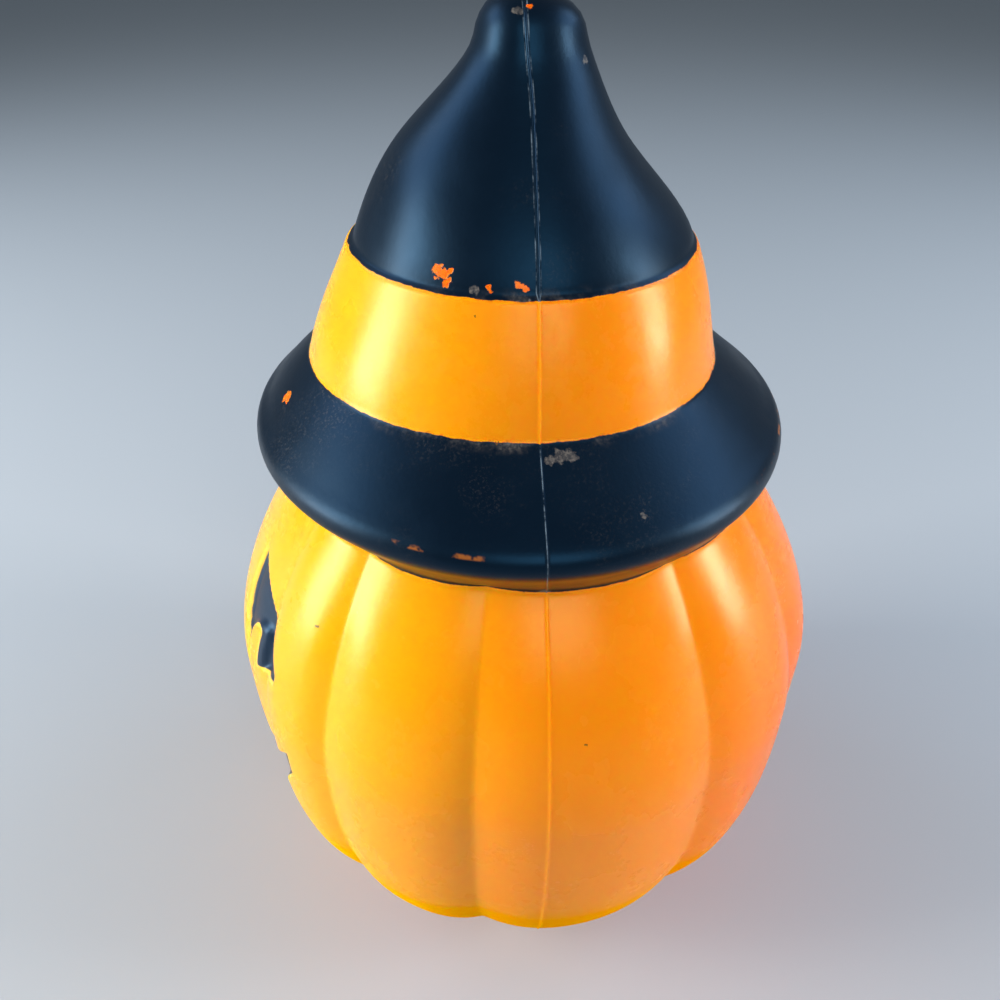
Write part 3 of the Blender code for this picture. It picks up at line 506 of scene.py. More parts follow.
# the lamp's flat seat and its hole in the back
lampSet = {
    "height": 75.0,
    "pad": 79.0,
    "padRadius": 21.6,
    "padEdge": 24.0,
    "innerEdge": (26.0, 32.0),  # the same on the skin's inside
    "hole": 16.5,
    "sides": 96,
    "cut": (70, 95),  # where the cut starts and ends, from the axis
    "wallFrom": 60,  # the hole's wall lies behind this, and this near to its radius
    "wallNear": 0.05,
}


def flattened(points, plane, low, high):
    # the lamp's seat: points behind the plane come forward to it inside a round area
    fromAxis = np.hypot(points[..., 0], points[..., 2] - lampSet["height"])
    share = (1 - smoothStep(fromAxis, low, high)) * (points[..., 1] > plane)
    made = points.copy()
    made[..., 1] -= (points[..., 1] - plane) * share
    return made


# how far the rows lie apart in millimetres, and the columns in degrees
spacingSet = {
    "rows": 2.3,
    "faceRows": (44, 145, 1.12),  # from, to, spacing
    # reach and spacing next to the places where the parts meet
    "markRows": {"crease": (5, 0.7), "lip": (8, 1.0), "bandFoot": (4, 0.5),
                 "bandTop": (3, 0.4), "crownFoot": (3, 0.4), "base": (6, 1.2)},
    "columns": 2.0,
    "faceColumns": (-142, -38, 0.7),
    "padColumns": (72, 108, 0.9),
    "seamColumns": (0.11, 0.35),  # spacing at a parting line, and what each degree away adds
    "grooveColumns": (0.5, 0.3),
    "innerRows": 3,  # the skin's inside has every third row and every fourth column
    "innerColumns": 4,
}


def rowSpacing(s):
    z = np.interp(s, profilePlaces, profileLine[:, 1])
    low, high, fine = spacingSet["faceRows"]
    made = np.where((z > low) & (z < high) & (s < marks["crease"]), fine, spacingSet["rows"])
    for name, (width, fine) in spacingSet["markRows"].items():
        near = smoothStep(abs(s - marks[name]), width / 2, width)
        made = made * near + fine * (1 - near)
    return made


def columnSpacing(angle):
    turned = (angle + 180) % 360 - 180
    made = np.full(turned.shape, spacingSet["columns"])
    for key in ("faceColumns", "padColumns"):
        low, high, fine = spacingSet[key]
        made = np.where((turned > low) & (turned < high), fine, made)
    for key, places in (("seamColumns", (0, 180)), ("grooveColumns", grooveAngles)):
        least, growth = spacingSet[key]
        for middle in places:
            away = abs((turned - middle + 180) % 360 - 180)
            made = np.minimum(made, least + growth * away)
    return made


def closedSkin(points, first, flip):
    # grid rows between two single end points
    rows, columns = points.shape[:2]
    ends = np.stack([points[0].mean(0), points[-1].mean(0)])
    flat = np.concatenate([points.reshape(-1, 3), ends])
    faces = gridFaces(rows, columns, first, flip)
    last = first + (rows - 1) * columns
    low, high = last + columns, last + columns + 1
    for j in range(columns):
        k = (j + 1) % columns
        bottom, top = [low, first + k, first + j], [last + j, last + k, high]
        faces += [bottom[::-1], top[::-1]] if flip else [bottom, top]
    return flat, faces


# three distances in millimetres that the finish reads, one number for each point: hatPaint is
# positive inside the painted brim and crown, faceEdge is negative inside eyes, nose and mouth, and
# seamAway is counted from the parting line towards the back; here is what bare plastic gets
bareDistances = {"hatPaint": -farAway, "faceEdge": farAway, "seamAway": farAway}
maskSet = {
    "crownPaint": 0.6,  # the crown's paint starts this far over the band
    "poleSeam": 9.0,  # what seamAway is at both poles
}


def makeMould():
    p, f, lamp, spacing = pumpkinSet, faceSet, lampSet, spacingSet
    s = evenSteps(p["poleGap"], profilePlaces[-1] - p["poleGap"], rowSpacing)
    angle = evenSteps(0, 360, columnSpacing)[:-1]
    base = mouldGrid(s, angle, True)
    normal = gridNormals(mouldGrid(s, angle, False))
    sunk = smoothStep(-faceDistance(base), *f["wallRun"]) * f["depth"]
    outer = base - normal * sunk[..., None]
    outer = flattened(outer, lamp["pad"], lamp["padRadius"], lamp["padEdge"])
    coarse = mouldGrid(s[::spacing["innerRows"]], angle[::spacing["innerColumns"]], False)
    wall = p["wall"] + f["depth"] * smoothStep(-faceDistance(coarse), *f["innerRun"])
    inner = coarse - gridNormals(coarse) * wall[..., None]
    inner = flattened(inner, lamp["pad"] - p["wall"], *lamp["innerEdge"])
    outerPoints, outerFaces = closedSkin(outer, 0, False)
    innerPoints, innerFaces = closedSkin(inner, len(outerPoints), True)
    points = np.concatenate([outerPoints, innerPoints])
    mesh = meshOf("mouldedSkin", points, outerFaces + innerFaces)
    brim = np.minimum(s - marks["crease"], marks["bandFoot"] - s)
    hat = np.maximum(brim, s - marks["bandTop"] - maskSet["crownPaint"])
    hat = np.concatenate([np.repeat(hat, len(angle)), [-farAway, hat[-1]]])
    face = faceDistance(outerPoints, "pupilPaint")
    turned = (angle + 90) % 180 - 90
    radius = np.interp(s, profilePlaces, profileLine[:, 0])
    seam = (np.radians(turned)[None, :] * radius[:, None]).ravel()
    seam = np.concatenate([seam, [maskSet["poleSeam"]] * 2])
    for values, (name, bare) in zip((hat, face, seam), bareDistances.items()):
        values = np.concatenate([values, np.full(len(innerPoints), bare)])
        made = mesh.attributes.new(name, "FLOAT", "POINT")
        made.data.foreach_set("value", values.astype(np.float32))
    print("moulding:", outer.shape[:2], "rows and columns")
    return mesh


def cutHole(mesh):
    # the round hole for the lamp, cut square through both skins
    sides, radius, height = (lampSet[key] for key in ("sides", "hole", "height"))
    turn = fullTurn(sides)
    ring = np.stack([radius * np.cos(turn), 0 * turn, height + radius * np.sin(turn)], -1)
    near, far = (ring + (0, y, 0) for y in lampSet["cut"])
    faces = gridFaces(2, sides) + [list(range(sides))[::-1], list(range(sides, 2 * sides))]
    cutter = newObject("holeCutter", meshOf("holeCutter", np.concatenate([far, near]), faces))
    whole = newObject("wholeSkin", mesh)
    cut = whole.modifiers.new("hole", "BOOLEAN")
    cut.operation = "DIFFERENCE"
    cut.solver = "MANIFOLD"
    cut.object = cutter
    bpy.context.view_layer.update()
    evaluated = whole.evaluated_get(bpy.context.evaluated_depsgraph_get())
    made = bpy.data.meshes.new_from_object(evaluated)
    for one in (cutter, whole):
        bpy.data.objects.remove(one)
    # the points that the cut made have no distances of their own, and its wall is bare plastic
    places = np.empty(len(made.vertices) * 3, np.float32)
    made.vertices.foreach_get("co", places)
    x, y, z = places.reshape(-1, 3).T / mm
    onWall = abs(np.hypot(x, z - height) - radius) < lampSet["wallNear"]
    onWall &= y > lampSet["wallFrom"]
    for name, bare in bareDistances.items():
        values = np.empty(len(x), np.float32)
        made.attributes[name].data.foreach_get("value", values)
        values[onWall] = bare
        made.attributes[name].data.foreach_set("value", values)
    made.name = "mouldedSkin"
    return made


mouldMesh = cutHole(makeMould())
linkPiece("mouldedSkin", mouldMesh, "pumpkin", ["moulded_body"], "orange_plastic")
mouldMesh.set_sharp_from_angle(angle=math.radians(pumpkinSet["sharpDeg"]))
print("moulding done:", len(mouldMesh.polygons), "faces")


# finish of the moulding: translucent orange plastic, black paint, wear, and painted light and shade
skinSet = {
    # painted light and shade: the lightest orange is for the lit face side, the deepest for the
    # shaded back and bottom, and also for chips in the paint
    "orangePaintedLight": (0.98, 0.40, 0.001, 1.0),
    "orange": (0.98, 0.25, 0.0006, 1.0),
    "orangeShadeAndChip": (0.98, 0.155, 0.0004, 1.0),
    "hatBlack": (0.0016, 0.0042, 0.009, 1.0),
    "faceBlack": (0.010, 0.020, 0.038, 1.0),
    "oversprayBrown": (0.13, 0.055, 0.006, 1.0),
    "dustGrey": (0.15, 0.125, 0.10, 1.0),
    "wornBrown": (0.30, 0.085, 0.008, 1.0),
    # partly rubbed paint and partly a painted highlight along the parting line's ridge
    "seamRubAndSheenGrey": (0.16, 0.21, 0.25, 1.0),
    # painted highlight: the pale colour of the rims around the face's recesses
    "rimHighlightColour": (0.98, 0.62, 0.10, 1.0),
    "plasticTint": (1.0, 0.80, 0.42, 1.0),  # of the highlights
    # painted reflection: the paint's highlights are tinted blue to stand for a sky's reflection
    "paintSkyTint": (0.13, 0.52, 1.0, 1.0),
    "paintGloss": 0.27,
    "scatterMm": 3.5,
    "scatterShares": (1.0, 0.30, 0.03),  # for red, green and blue
    "shadeTop": 0.13,  # the hue follows the height up to here, in metres
    "shadeLean": -0.3,
    "hueCloud": 0.04,
    "raggedScale": 700.0,
    "raggedMm": 2.8,
    "hatWander": 1.1,  # how far noise moves a paint's edge, in millimetres
    "faceWander": 0.2,
    "creaseWander": 1.6,
    "rimHighlightShare": 0.55,
    "lipWear": 0.85,
    "bandDust": 0.7,
    "scuffDust": 0.85,
    "hazeDust": 0.34,
    "seamPair": -0.5,  # minus half the distance between the crown's two pale lines
    "seamRubAndSheen": 0.75,
    "dustDullness": 0.3,
    "coarseBump": 0.6,  # its height against the fine bump's
    "paintStep": 1.2,
    "bumpMm": 0.05,
    "bumpStrength": 0.5,
}
# clouds of noise: scale, detail, roughness, and for a mask the change that it goes through
cloudSet = {
    "hue": (9.0, 2.0, 0.5),
    "edge": (260.0, 3.0, 0.6),
    "lip": (170.0, 3.0, 0.7, 0.50, 0.60),
    "overspray": (60.0, 4.0, 0.65, 0.34, 0.62),
    "bandDust": (210.0, 3.0, 0.6, 0.42, 0.70),
    "grain": (800.0, 4.0, 0.7, 0.40, 0.66, 0.25, 1.0),
    "haze": (28.0, 5.0, 0.65, 0.48, 0.78),
    "hazeGrain": (1400.0, 3.0, 0.7, 0.50, 0.72),
    "seam": (190.0, 4.0, 0.7, 0.38, 0.62),
    "smear": (45.0, 4.0, 0.6, 0.35, 0.75, 0.0, 0.09),
    "coarseBump": (260.0, 2.0, 0.5),
    "fineBump": (900.0, 2.0, 0.6),
}
# smooth changes: from, to, and the values at both where they aren't 0 and 1; places along the
# object's own axes are in metres, distances from a paint's edge or a seam in millimetres
changeSet = {
    # painted light and shade: where the orange turns lighter on the lit face side and deeper on the
    # shaded back
    "paintedLightFront": (-0.075, -0.005),
    "paintedShadeBack": (0.0, 0.075),
    "hatEdge": (-0.12, 0.12),
    "faceEdge": (0.05, -0.25),
    "faceRimHighlight": (0.25, 1.1, 1.0, 0.0),
    "lipFoot": (0.1786, 0.1790),
    "lipTop": (0.1794, 0.1798, 1.0, 0.0),
    "lipNear": (-0.012, -0.016),
    "lipFar": (-0.036, -0.031),
    "lipBack": (0.048, 0.054),
    "underBrim": (0.1752, 0.1705),
    "creaseLine": (1.6, 2.6),
    "overBrim": (0.183, 0.187),
    "bandFoot": (0.4, 3.4, 1.0, 0.0),
    "dustSide": (0.030, 0.050),
    "onCrown": (0.221, 0.223),
    "seamLine": (0.06, 0.17, 1.0, 0.0),
    "seamSide": (0.0, 0.002),
    "paintEndDark": (-0.7, -0.05, 0.0, 0.5),
    "paintEndBreaks": (0.5, 0.68),
    "offPaint": (0.0, 0.5, 1.0, 0.0),
    "scatter": (0.0, 1.0, 1.0, 0.0),
    "plasticGloss": (0.055, 0.115, 0.0, 0.40),
    "dullness": (0.0, 1.0, 0.235, 0.33),
}
# single marks of wear: x, y, z and size in millimetres
wearSet = {
    "chips": (
        (33.8, -22.2, 225.7, 1.1), (34.8, -20.8, 225.2, 1.35), (36.0, -19.9, 223.4, 1.0),
        (35.3, -19.2, 225.7, 0.7), (34.4, -21.9, 223.9, 0.6), (40.1, -5.3, 224.3, 1.0),
        (40.5, -4.1, 223.7, 0.7), (39.3, -11.7, 223.5, 0.75), (38.2, -12.9, 223.2, 0.5),
        (16.8, -61.0, 187.5, 1.5), (18.6, -60.4, 187.2, 0.8), (8.8, -1.7, 270.5, 0.6)),
    "scuffs": (
        (54.8, 2.9, 192.0, 1.8), (54.4, 5.2, 191.7, 1.5), (55.4, 0.4, 191.6, 1.1),
        (9.4, -4.1, 269.9, 1.1), (64.9, 19.8, 183.0, 0.7), (38.7, -14.4, 222.7, 1.2),
        (41.7, -3.5, 221.7, 0.5), (8.2, 10.4, 260.5, 0.8), (60.0, -12.7, 160.0, 1.4),
        (62.5, -0.3, 160.5, 1.5)),
    "specks": (
        (41.7, -14.5, 218.7, 0.5), (51.8, -10.6, 193.9, 0.4), (50.5, -55.5, 140.7, 0.5),
        (80.8, 8.1, 129.0, 0.4), (43.4, 12.6, 205.0, 0.3), (77.6, -31.0, 96.0, 0.3),
        (60.1, 52.0, 120.0, 0.35)),
    "fade": (0.8, 1.1),  # a mark ends between these shares of its size
}


def shaken(tree, where, scale, amount):
    # places pushed about by noise, for ragged outlines
    inputs = {"Vector": where, "Scale": scale, "Detail": 3.0}
    cloud = addNode(tree, "ShaderNodeTexNoise", inputs).outputs["Color"]
    moved = vectorSums(tree, "MULTIPLY_ADD", {0: cloud, 1: (amount,) * 3, 2: where})[0]
    return vectorSums(tree, "SUBTRACT", {0: moved, 1: (amount / 2,) * 3})[0]


def spots(tree, where, places):
    # 1 inside any of the round places, 0 outside
    found = None
    low, high = wearSet["fade"]
    for x, y, z, size in places:
        inputs = {0: where, 1: (x * mm, y * mm, z * mm)}
        away = vectorSums(tree, "DISTANCE", inputs)["Value"]
        one = ramp(tree, away, size * mm * low, size * mm * high, 1.0, 0.0)
        found = one if found is None else sums(tree, "MAXIMUM", found, one)
    return found


def makeSkinFinish():
    made, tree, shader = newMaterial("orangeShellAndPaint")
    skin = skinSet
    where = objectPlaces(tree)
    apart = addNode(tree, "ShaderNodeSeparateXYZ", {0: where}).outputs
    ragged = shaken(tree, where, skin["raggedScale"], skin["raggedMm"] * mm)

    def mask(name):
        return addNode(tree, "ShaderNodeAttribute", attribute_name=name).outputs["Fac"]

    def cloud(name):
        # plain noise, or a mask of it
        made, ends = noise(tree, where, *cloudSet[name][:3]), cloudSet[name][3:]
        return ramp(tree, made, *ends) if ends else made

    def change(name, value):
        return ramp(tree, value, *changeSet[name])

    def times(first, *others):
        for other in others:
            first = sums(tree, "MULTIPLY", first, other)
        return first

    def most(first, second):
        return sums(tree, "MAXIMUM", first, second)

    def scaled(value, factor, added):
        return sums(tree, "MULTIPLY_ADD", value, factor, added)

    # painted light and shade: the orange is painted lighter on the face's lit side and deeper
    # towards the back and downwards, where the shell lies in shade, with a cloud of random tone
    height = sums(tree, "MINIMUM", apart["Z"], skin["shadeTop"])
    litToShade = scaled(height, skin["shadeLean"], apart["Y"])
    litToShade = scaled(cloud("hue"), skin["hueCloud"], litToShade)
    orange = mixed(tree, change("paintedLightFront", litToShade), skin["orangePaintedLight"], skin["orange"])
    orange = mixed(tree, change("paintedShadeBack", litToShade), orange, skin["orangeShadeAndChip"])
    # where there is paint: its edges wander a little, and chips leave it out
    wavy = cloud("edge")
    fromHat = mask("hatPaint")
    hat = sums(tree, "ADD", fromHat, scaled(wavy, skin["hatWander"], -skin["hatWander"] / 2))
    chipped = spots(tree, ragged, wearSet["chips"])
    whole = sums(tree, "SUBTRACT", 1.0, chipped, clamp=True)
    hatPainted = times(change("hatEdge", hat), whole)
    face = scaled(wavy, skin["faceWander"], mask("faceEdge"))
    facePainted = change("faceEdge", face)
    painted = most(hatPainted, facePainted)
    # painted highlight: a pale rim just outside the eyes, nose and mouth, where the recess edges
    # catch the light
    faceRimHighlight = times(change("faceRimHighlight", face), skin["rimHighlightShare"])
    colour = mixed(tree, faceRimHighlight, orange, skin["rimHighlightColour"])
    colour = mixed(tree, chipped, colour, skin["orangeShadeAndChip"])
    # the lip is worn on the face's side of the parting line and at the back
    lipLine = times(change("lipFoot", apart["Z"]), change("lipTop", apart["Z"]))
    lipFront = times(change("lipNear", apart["Y"]), change("lipFar", apart["Y"]))
    lipWorn = times(lipLine, most(lipFront, change("lipBack", apart["Y"])), cloud("lip"))
    black = mixed(tree, times(lipWorn, skin["lipWear"]), skin["hatBlack"], skin["wornBrown"])
    # overspray thins out under the brim, down to a dark line in the crease
    creaseLine = change("creaseLine", scaled(wavy, skin["creaseWander"], fromHat))
    under = times(change("underBrim", apart["Z"]), cloud("overspray"), creaseLine)
    black = mixed(tree, under, black, skin["oversprayBrown"])
    # dust lies along the band's foot, in the scuffs and thinly over the brim and the crown
    nearBand = times(change("overBrim", apart["Z"]), change("bandFoot", fromHat))
    nearBand = times(nearBand, change("dustSide", apart["X"]), cloud("bandDust"))
    grain = cloud("grain")
    dust = times(nearBand, skin["bandDust"], grain)
    scuffed = spots(tree, ragged, wearSet["scuffs"])
    dust = most(dust, times(scuffed, times(grain, skin["scuffDust"])))
    dust = most(dust, times(cloud("haze"), cloud("hazeGrain"), skin["hazeDust"]))
    black = mixed(tree, dust, black, skin["dustGrey"])
    # paler lines along the parting line, partly rubbed paint and partly a painted highlight on the
    # ridge: two thin lines on the crown, one on the brim
    fromSeam = sums(tree, "ABSOLUTE", mask("seamAway"))
    onCrown = change("onCrown", apart["Z"])
    flank = sums(tree, "ABSOLUTE", scaled(onCrown, skin["seamPair"], fromSeam))
    rubbedAndSheen = times(change("seamLine", flank), cloud("seam"), change("seamSide", apart["X"]))
    black = mixed(tree, times(rubbedAndSheen, skin["seamRubAndSheen"]), black, skin["seamRubAndSheenGrey"])
    colour = mixed(tree, hatPainted, colour, black)
    colour = mixed(tree, facePainted, colour, skin["faceBlack"])
    # a thin brown line on the orange just outside the paint's edges, in the crease under the brim
    # and along the band's edges, and small dark specks
    darkEdgeAndSpecks = times(change("paintEndDark", hat), change("paintEndBreaks", wavy))
    darkEdgeAndSpecks = times(darkEdgeAndSpecks, change("offPaint", hatPainted))
    darkEdgeAndSpecks = most(darkEdgeAndSpecks, spots(tree, ragged, wearSet["specks"]))
    colour = mixed(tree, darkEdgeAndSpecks, colour, skin["oversprayBrown"])
    # the pale floor would wash the lower body out, so it reflects less there
    inputs = {0: painted, 2: change("plasticGloss", apart["Z"]), 3: skin["paintGloss"]}
    dullness = sums(tree, "ADD", change("dullness", painted), cloud("smear"))
    bumps = scaled(cloud("coarseBump"), skin["coarseBump"], cloud("fineBump"))
    bumps = scaled(hatPainted, skin["paintStep"], bumps)
    feed(tree, shader, {
        "Base Color": colour,
        "Subsurface Radius": skin["scatterShares"],
        "Subsurface Scale": skin["scatterMm"] * mm,
        "Subsurface Weight": change("scatter", painted),
        "Specular IOR Level": addNode(tree, "ShaderNodeMix", inputs).outputs[0],
        # painted reflection: the paint's highlights take a sky blue tint
        "Specular Tint": mixed(tree, painted, skin["plasticTint"], skin["paintSkyTint"]),
        "Roughness": scaled(dust, skin["dustDullness"], dullness),
        "Normal": bumped(tree, bumps, skin["bumpMm"], skin["bumpStrength"]),
    })
    return made


mouldMesh.materials.clear()
mouldMesh.materials.append(makeSkinFinish())
print("moulding finish done")


# finishes of the light's small parts, each clouded between its colour and a stain: name, colour,
# stain, roughness, metallic, noise scale, bump in millimetres
kitFinishSet = {
    "socket_plastic": (
        "socketPlastic", (0.012, 0.012, 0.013), (0.022, 0.022, 0.024), 0.38, 0.0, 300.0, 0.03),
    "spring_steel": (
        "springSteel", (0.56, 0.57, 0.59), (0.40, 0.39, 0.38), 0.26, 1.0, 400.0, 0.01),
    "socket_brass": (
        "socketBrass", (0.76, 0.54, 0.23), (0.48, 0.31, 0.13), 0.25, 1.0, 400.0, 0.01),
    "fibre_disc": (
        "pressedFibre", (0.26, 0.12, 0.06), (0.17, 0.075, 0.035), 0.75, 0.0, 900.0, 0.03),
    "cap_nickel": (
        "capNickel", (0.66, 0.63, 0.57), (0.50, 0.47, 0.42), 0.22, 1.0, 400.0, 0.01),
    "tip_solder": (
        "tipSolder", (0.55, 0.55, 0.55), (0.38, 0.38, 0.39), 0.40, 1.0, 900.0, 0.03),
    "cap_glass": (
        "capGlass", (0.010, 0.010, 0.014), (0.010, 0.010, 0.014), 0.10, 0.0, 400.0, 0.01),
    "lead_metal": (
        "leadMetal", (0.52, 0.46, 0.40), (0.36, 0.31, 0.27), 0.35, 1.0, 400.0, 0.01),
}
stainSet = {
    "cloud": (4.0, 0.65),  # detail, roughness
    "stained": (0.45, 0.75),
    "dulled": (0.3, 0.7),
    "dullShares": (0.85, 1.25),  # of the finish's roughness
    "bumpFiner": 4,
    "bumpCloud": (2.0, 0.5),
    "bumpStrength": 0.6,
}


def kitFinish(name, colour, stain, roughness, metallic, scale, bumpMm):
    made, tree, shader = newMaterial(name)
    where = objectPlaces(tree)
    cloud = noise(tree, where, scale, *stainSet["cloud"])
    stained = ramp(tree, cloud, *stainSet["stained"])
    ends = [roughness * share for share in stainSet["dullShares"]]
    bumps = noise(tree, where, scale * stainSet["bumpFiner"], *stainSet["bumpCloud"])
    feed(tree, shader, {
        "Base Color": mixed(tree, stained, (*colour, 1.0), (*stain, 1.0)),
        "Roughness": ramp(tree, cloud, *stainSet["dulled"], *ends),
        "Metallic": metallic,
        "Normal": bumped(tree, bumps, bumpMm, stainSet["bumpStrength"]),
    })
    return made


clearGlassSet = {
    "colour": (0.97, 0.98, 0.97, 1.0),
    "ior": 1.5,
    "cloud": (60.0, 2.0, 0.5),
    "roughness": (0.3, 0.7, 0.01, 0.03),  # cloud from and to, roughness there
    "bumpMm": 0.02,
    "bumpStrength": 0.5,
}


def makeClearGlass():
    made, tree, shader = newMaterial("clearGlass")
    glass = clearGlassSet
    cloud = noise(tree, objectPlaces(tree), *glass["cloud"])
    feed(tree, shader, {
        "Base Color": glass["colour"],
        "Roughness": ramp(tree, cloud, *glass["roughness"]),
        "Transmission Weight": 1.0,
        "IOR": glass["ior"],
        "Normal": bumped(tree, cloud, glass["bumpMm"], glass["bumpStrength"]),
    })
    return made


kitFinishes = {slot: kitFinish(*values) for slot, values in kitFinishSet.items()}
kitFinishes["clear_glass"] = makeClearGlass()
print("light's finishes done")


# the light: pieces turned or swept about its axis, which runs from the seat towards the face
kitSet = {
    "seat": 66.0,  # how far behind the pumpkin's axis the light's own places start
    "height": 75.0,
    "pitch": 2.54,
    "wave": 0.25,  # half the thread's depth
    "threadRows": 20,  # to a pitch
    "columns": 96,
}


def onAxis(points):
    # from the light's own places (x, y, along) to the pumpkin's
    x, y, along = np.moveaxis(np.asarray(points, float), -1, 0)
    return np.stack([x, kitSet["seat"] - along, kitSet["height"] + y], -1)


def softCorners(line, radius):
    # each inner corner of an open line gives way to five points on a short curve
    line = np.asarray(line, float)
    t = np.linspace(0, 1, 5)[:, None]
    made = [line[:1]]
    for before, point, after in zip(line, line[1:], line[2:]):
        legs = []
        for other in (before, after):
            run = np.hypot(*(other - point))
            legs.append(point + (other - point) * min(radius, 0.4 * run) / run)
        made.append((1 - t) ** 2 * legs[0] + 2 * t * (1 - t) * point + t ** 2 * legs[1])
    return np.concatenate([*made, line[-1:]])


def addKitPiece(name, node, mesh, body, finish, sharpDeg=50):
    made = linkPiece(name, mesh, body, [node], finish)
    mesh.set_sharp_from_angle(angle=math.radians(sharpDeg))
    mesh.materials.clear()
    mesh.materials.append(kitFinishes[finish])
    return made


def turnedMesh(name, profile, closed, wave=None):
    # a (radius, along) outline turned about the light's axis: closed outlines make rings, open
    # ones start and end on the axis; wave gives each row's share of the screw thread
    columns = kitSet["columns"]
    turn = fullTurn(columns)[None, :]
    profile = np.asarray(profile, float)
    rows = profile if closed else profile[1:-1]
    radius = rows[:, :1] + 0 * turn
    if wave is not None:
        thread = np.cos(turn - 2 * math.pi * rows[:, 1:] / kitSet["pitch"])
        radius = radius + kitSet["wave"] * np.asarray(wave)[:, None] * thread
    points = np.stack([radius * np.cos(turn), radius * np.sin(turn), rows[:, 1:] + 0 * turn], -1)
    if closed:
        flat = points.reshape(-1, 3)
        faces = (np.array(gridFaces(len(rows) + 1, columns)) % len(flat)).tolist()
    else:
        flat, faces = closedSkin(points, 0, False)
        flat[-2:] = [[0, 0, profile[0, 1]], [0, 0, profile[-1, 1]]]
    return meshOf(name, onAxis(flat), faces)


def threadRows(mean, low, high, plain):
    # rows of a rolled thread that fades to a plain radius over half a pitch at both ends
    pitch = kitSet["pitch"]
    s = np.linspace(low, high, int((high - low) / pitch * kitSet["threadRows"]) + 1)
    share = smoothStep(s, low, low + pitch / 2) * (1 - smoothStep(s, high - pitch / 2, high))
    return np.stack([mean * share + plain * (1 - share), s], -1), share


shellSet = {
    "radius": 6.0,  # mean of the thread, inside
    "underside": 0.3,
    "threadFoot": 0.7,
    "threadEnd": 15.3,
    "wall": 0.35,
    "hole": 3.4,
    "bevel": 0.1,
}


def makeShell():
    mean, under, low, high, wall, hole, bevel = shellSet.values()
    major = mean + kitSet["wave"]
    innerRows, innerShare = threadRows(mean, low, high, major)
    outside = major + wall
    outerRows, outerShare = threadRows(mean + wall, low, high, outside)
    foot = [(outside, under + bevel), (outside - bevel, under), (hole, under), (hole, low)]
    profile = np.concatenate([innerRows, outerRows[::-1], foot])
    wave = np.concatenate([innerShare, outerShare[::-1], np.zeros(len(foot))])
    return turnedMesh("threadedShell", profile[::-1], True, wave[::-1])


capSet = {
    "radius": 5.7,  # mean of the thread
    "bore": 5.1,
    "foot": 4.6,
    "threadEnd": 14.6,
    "end": 18.0,
    "rimRadius": 6.3,
    "rimBore": 5.8,
    "rimHeight": 1.8,
    "lip": 0.6,
    "bevel": 0.1,
}


def makeCap():
    mean, bore, foot, threadEnd, end, rimRadius, rimBore, rimHeight, lip, bevel = capSet.values()
    minor, shoulder = mean - kitSet["wave"], end - rimHeight
    rows, share = threadRows(mean, foot, threadEnd, minor)
    rest = [(minor, shoulder), (rimRadius - bevel / 2, end - lip), (rimRadius, end - lip + bevel),
            (rimRadius, end - bevel), (rimRadius - bevel, end), (rimBore, end), (bore, shoulder),
            (bore, foot)]
    profile = np.concatenate([rows, rest])
    return turnedMesh("threadedCap", profile, True, np.concatenate([share, np.zeros(len(rest))]))


glassSet = {
    "neck": 4.8,
    "widest": 11.0,
    "foot": 12.0,
    "middle": 36.0,  # where it is widest
    "top": 56.6,
    "wall": 0.6,
    "tipWall": 1.8,
    "tipExponents": (1.7, 0.75),
    "footRound": 0.15,
    "leastBore": 0.05,
    "rows": 40,  # below the middle, and as many above it
}


def glassRadius(s):
    # a smooth rise from the neck to the middle, then a pointed dome
    g = glassSet
    first, second = g["tipExponents"]
    share = np.clip((s - g["middle"]) / (g["top"] - g["middle"]), 0, 1)
    swell = smoothStep(s, capSet["end"], g["middle"])
    lower = g["neck"] + (g["widest"] - g["neck"]) * swell
    return np.where(s <= g["middle"], lower, g["widest"] * (1 - share ** first) ** second)


def makeGlass():
    g = glassSet
    foot, middle, top, inTop = g["foot"], g["middle"], g["top"], g["top"] - g["tipWall"]

    def heights(end):
        # even below the middle, closer and closer towards the end
        lower = np.linspace(foot, middle, g["rows"])
        upper = middle + (end - middle) * np.sin(np.linspace(0, math.pi / 2, g["rows"]))
        return np.concatenate([lower, upper[1:-1]])

    s, deep = heights(top), heights(inTop)
    outer = np.stack([glassRadius(s), s], -1)
    inner = np.stack([np.maximum(glassRadius(deep) - g["wall"], g["leastBore"]), deep], -1)
    soft = g["footRound"]
    low = [inner[0] + (0, soft), (inner[0, 0] + soft, foot), (outer[0, 0] - soft, foot),
           outer[0] + (0, soft)]
    profile = np.concatenate([[(0, inTop)], inner[:0:-1], low, outer[1:], [(0, top)]])
    return turnedMesh("glassBulb", profile, False)


def tubeMesh(name, path, radius, sides):
    # a round tube along a path of places, closed by flat ends; a fixed side direction keeps it
    # from twisting
    path = np.asarray(path, float)
    ahead = unit(np.gradient(path, axis=0))
    side = unit(np.cross(ahead, [0.0, 1.0, 0.05]))[:, None]
    other = np.cross(ahead[:, None], side)
    turn = fullTurn(sides)[None, :, None]
    rings = path[:, None] + radius * (np.cos(turn) * side + np.sin(turn) * other)
    faces = gridFaces(len(path), sides)
    last = (len(path) - 1) * sides
    faces += [list(range(sides))[::-1], [last + j for j in range(sides)]]
    return meshOf(name, onAxis(rings.reshape(-1, 3)), faces)


leadSet = {
    "line": ((1.1, 26.3), (1.1, 28.3), (5.0, 35.0), (5.0, 37.0)),  # from the axis, along it
    "bend": 0.9,
    "radius": 0.3,
    "sides": 14,
}
coilSet = {
    "radius": 0.14,
    "wire": 0.06,
    "rise": 3.0,
    "foot": 37.36,
    "turns": 34.0,
    "plain": 0.04,  # share of its length at each end over which the winding starts
    "rows": 700,
    "sides": 8,
}


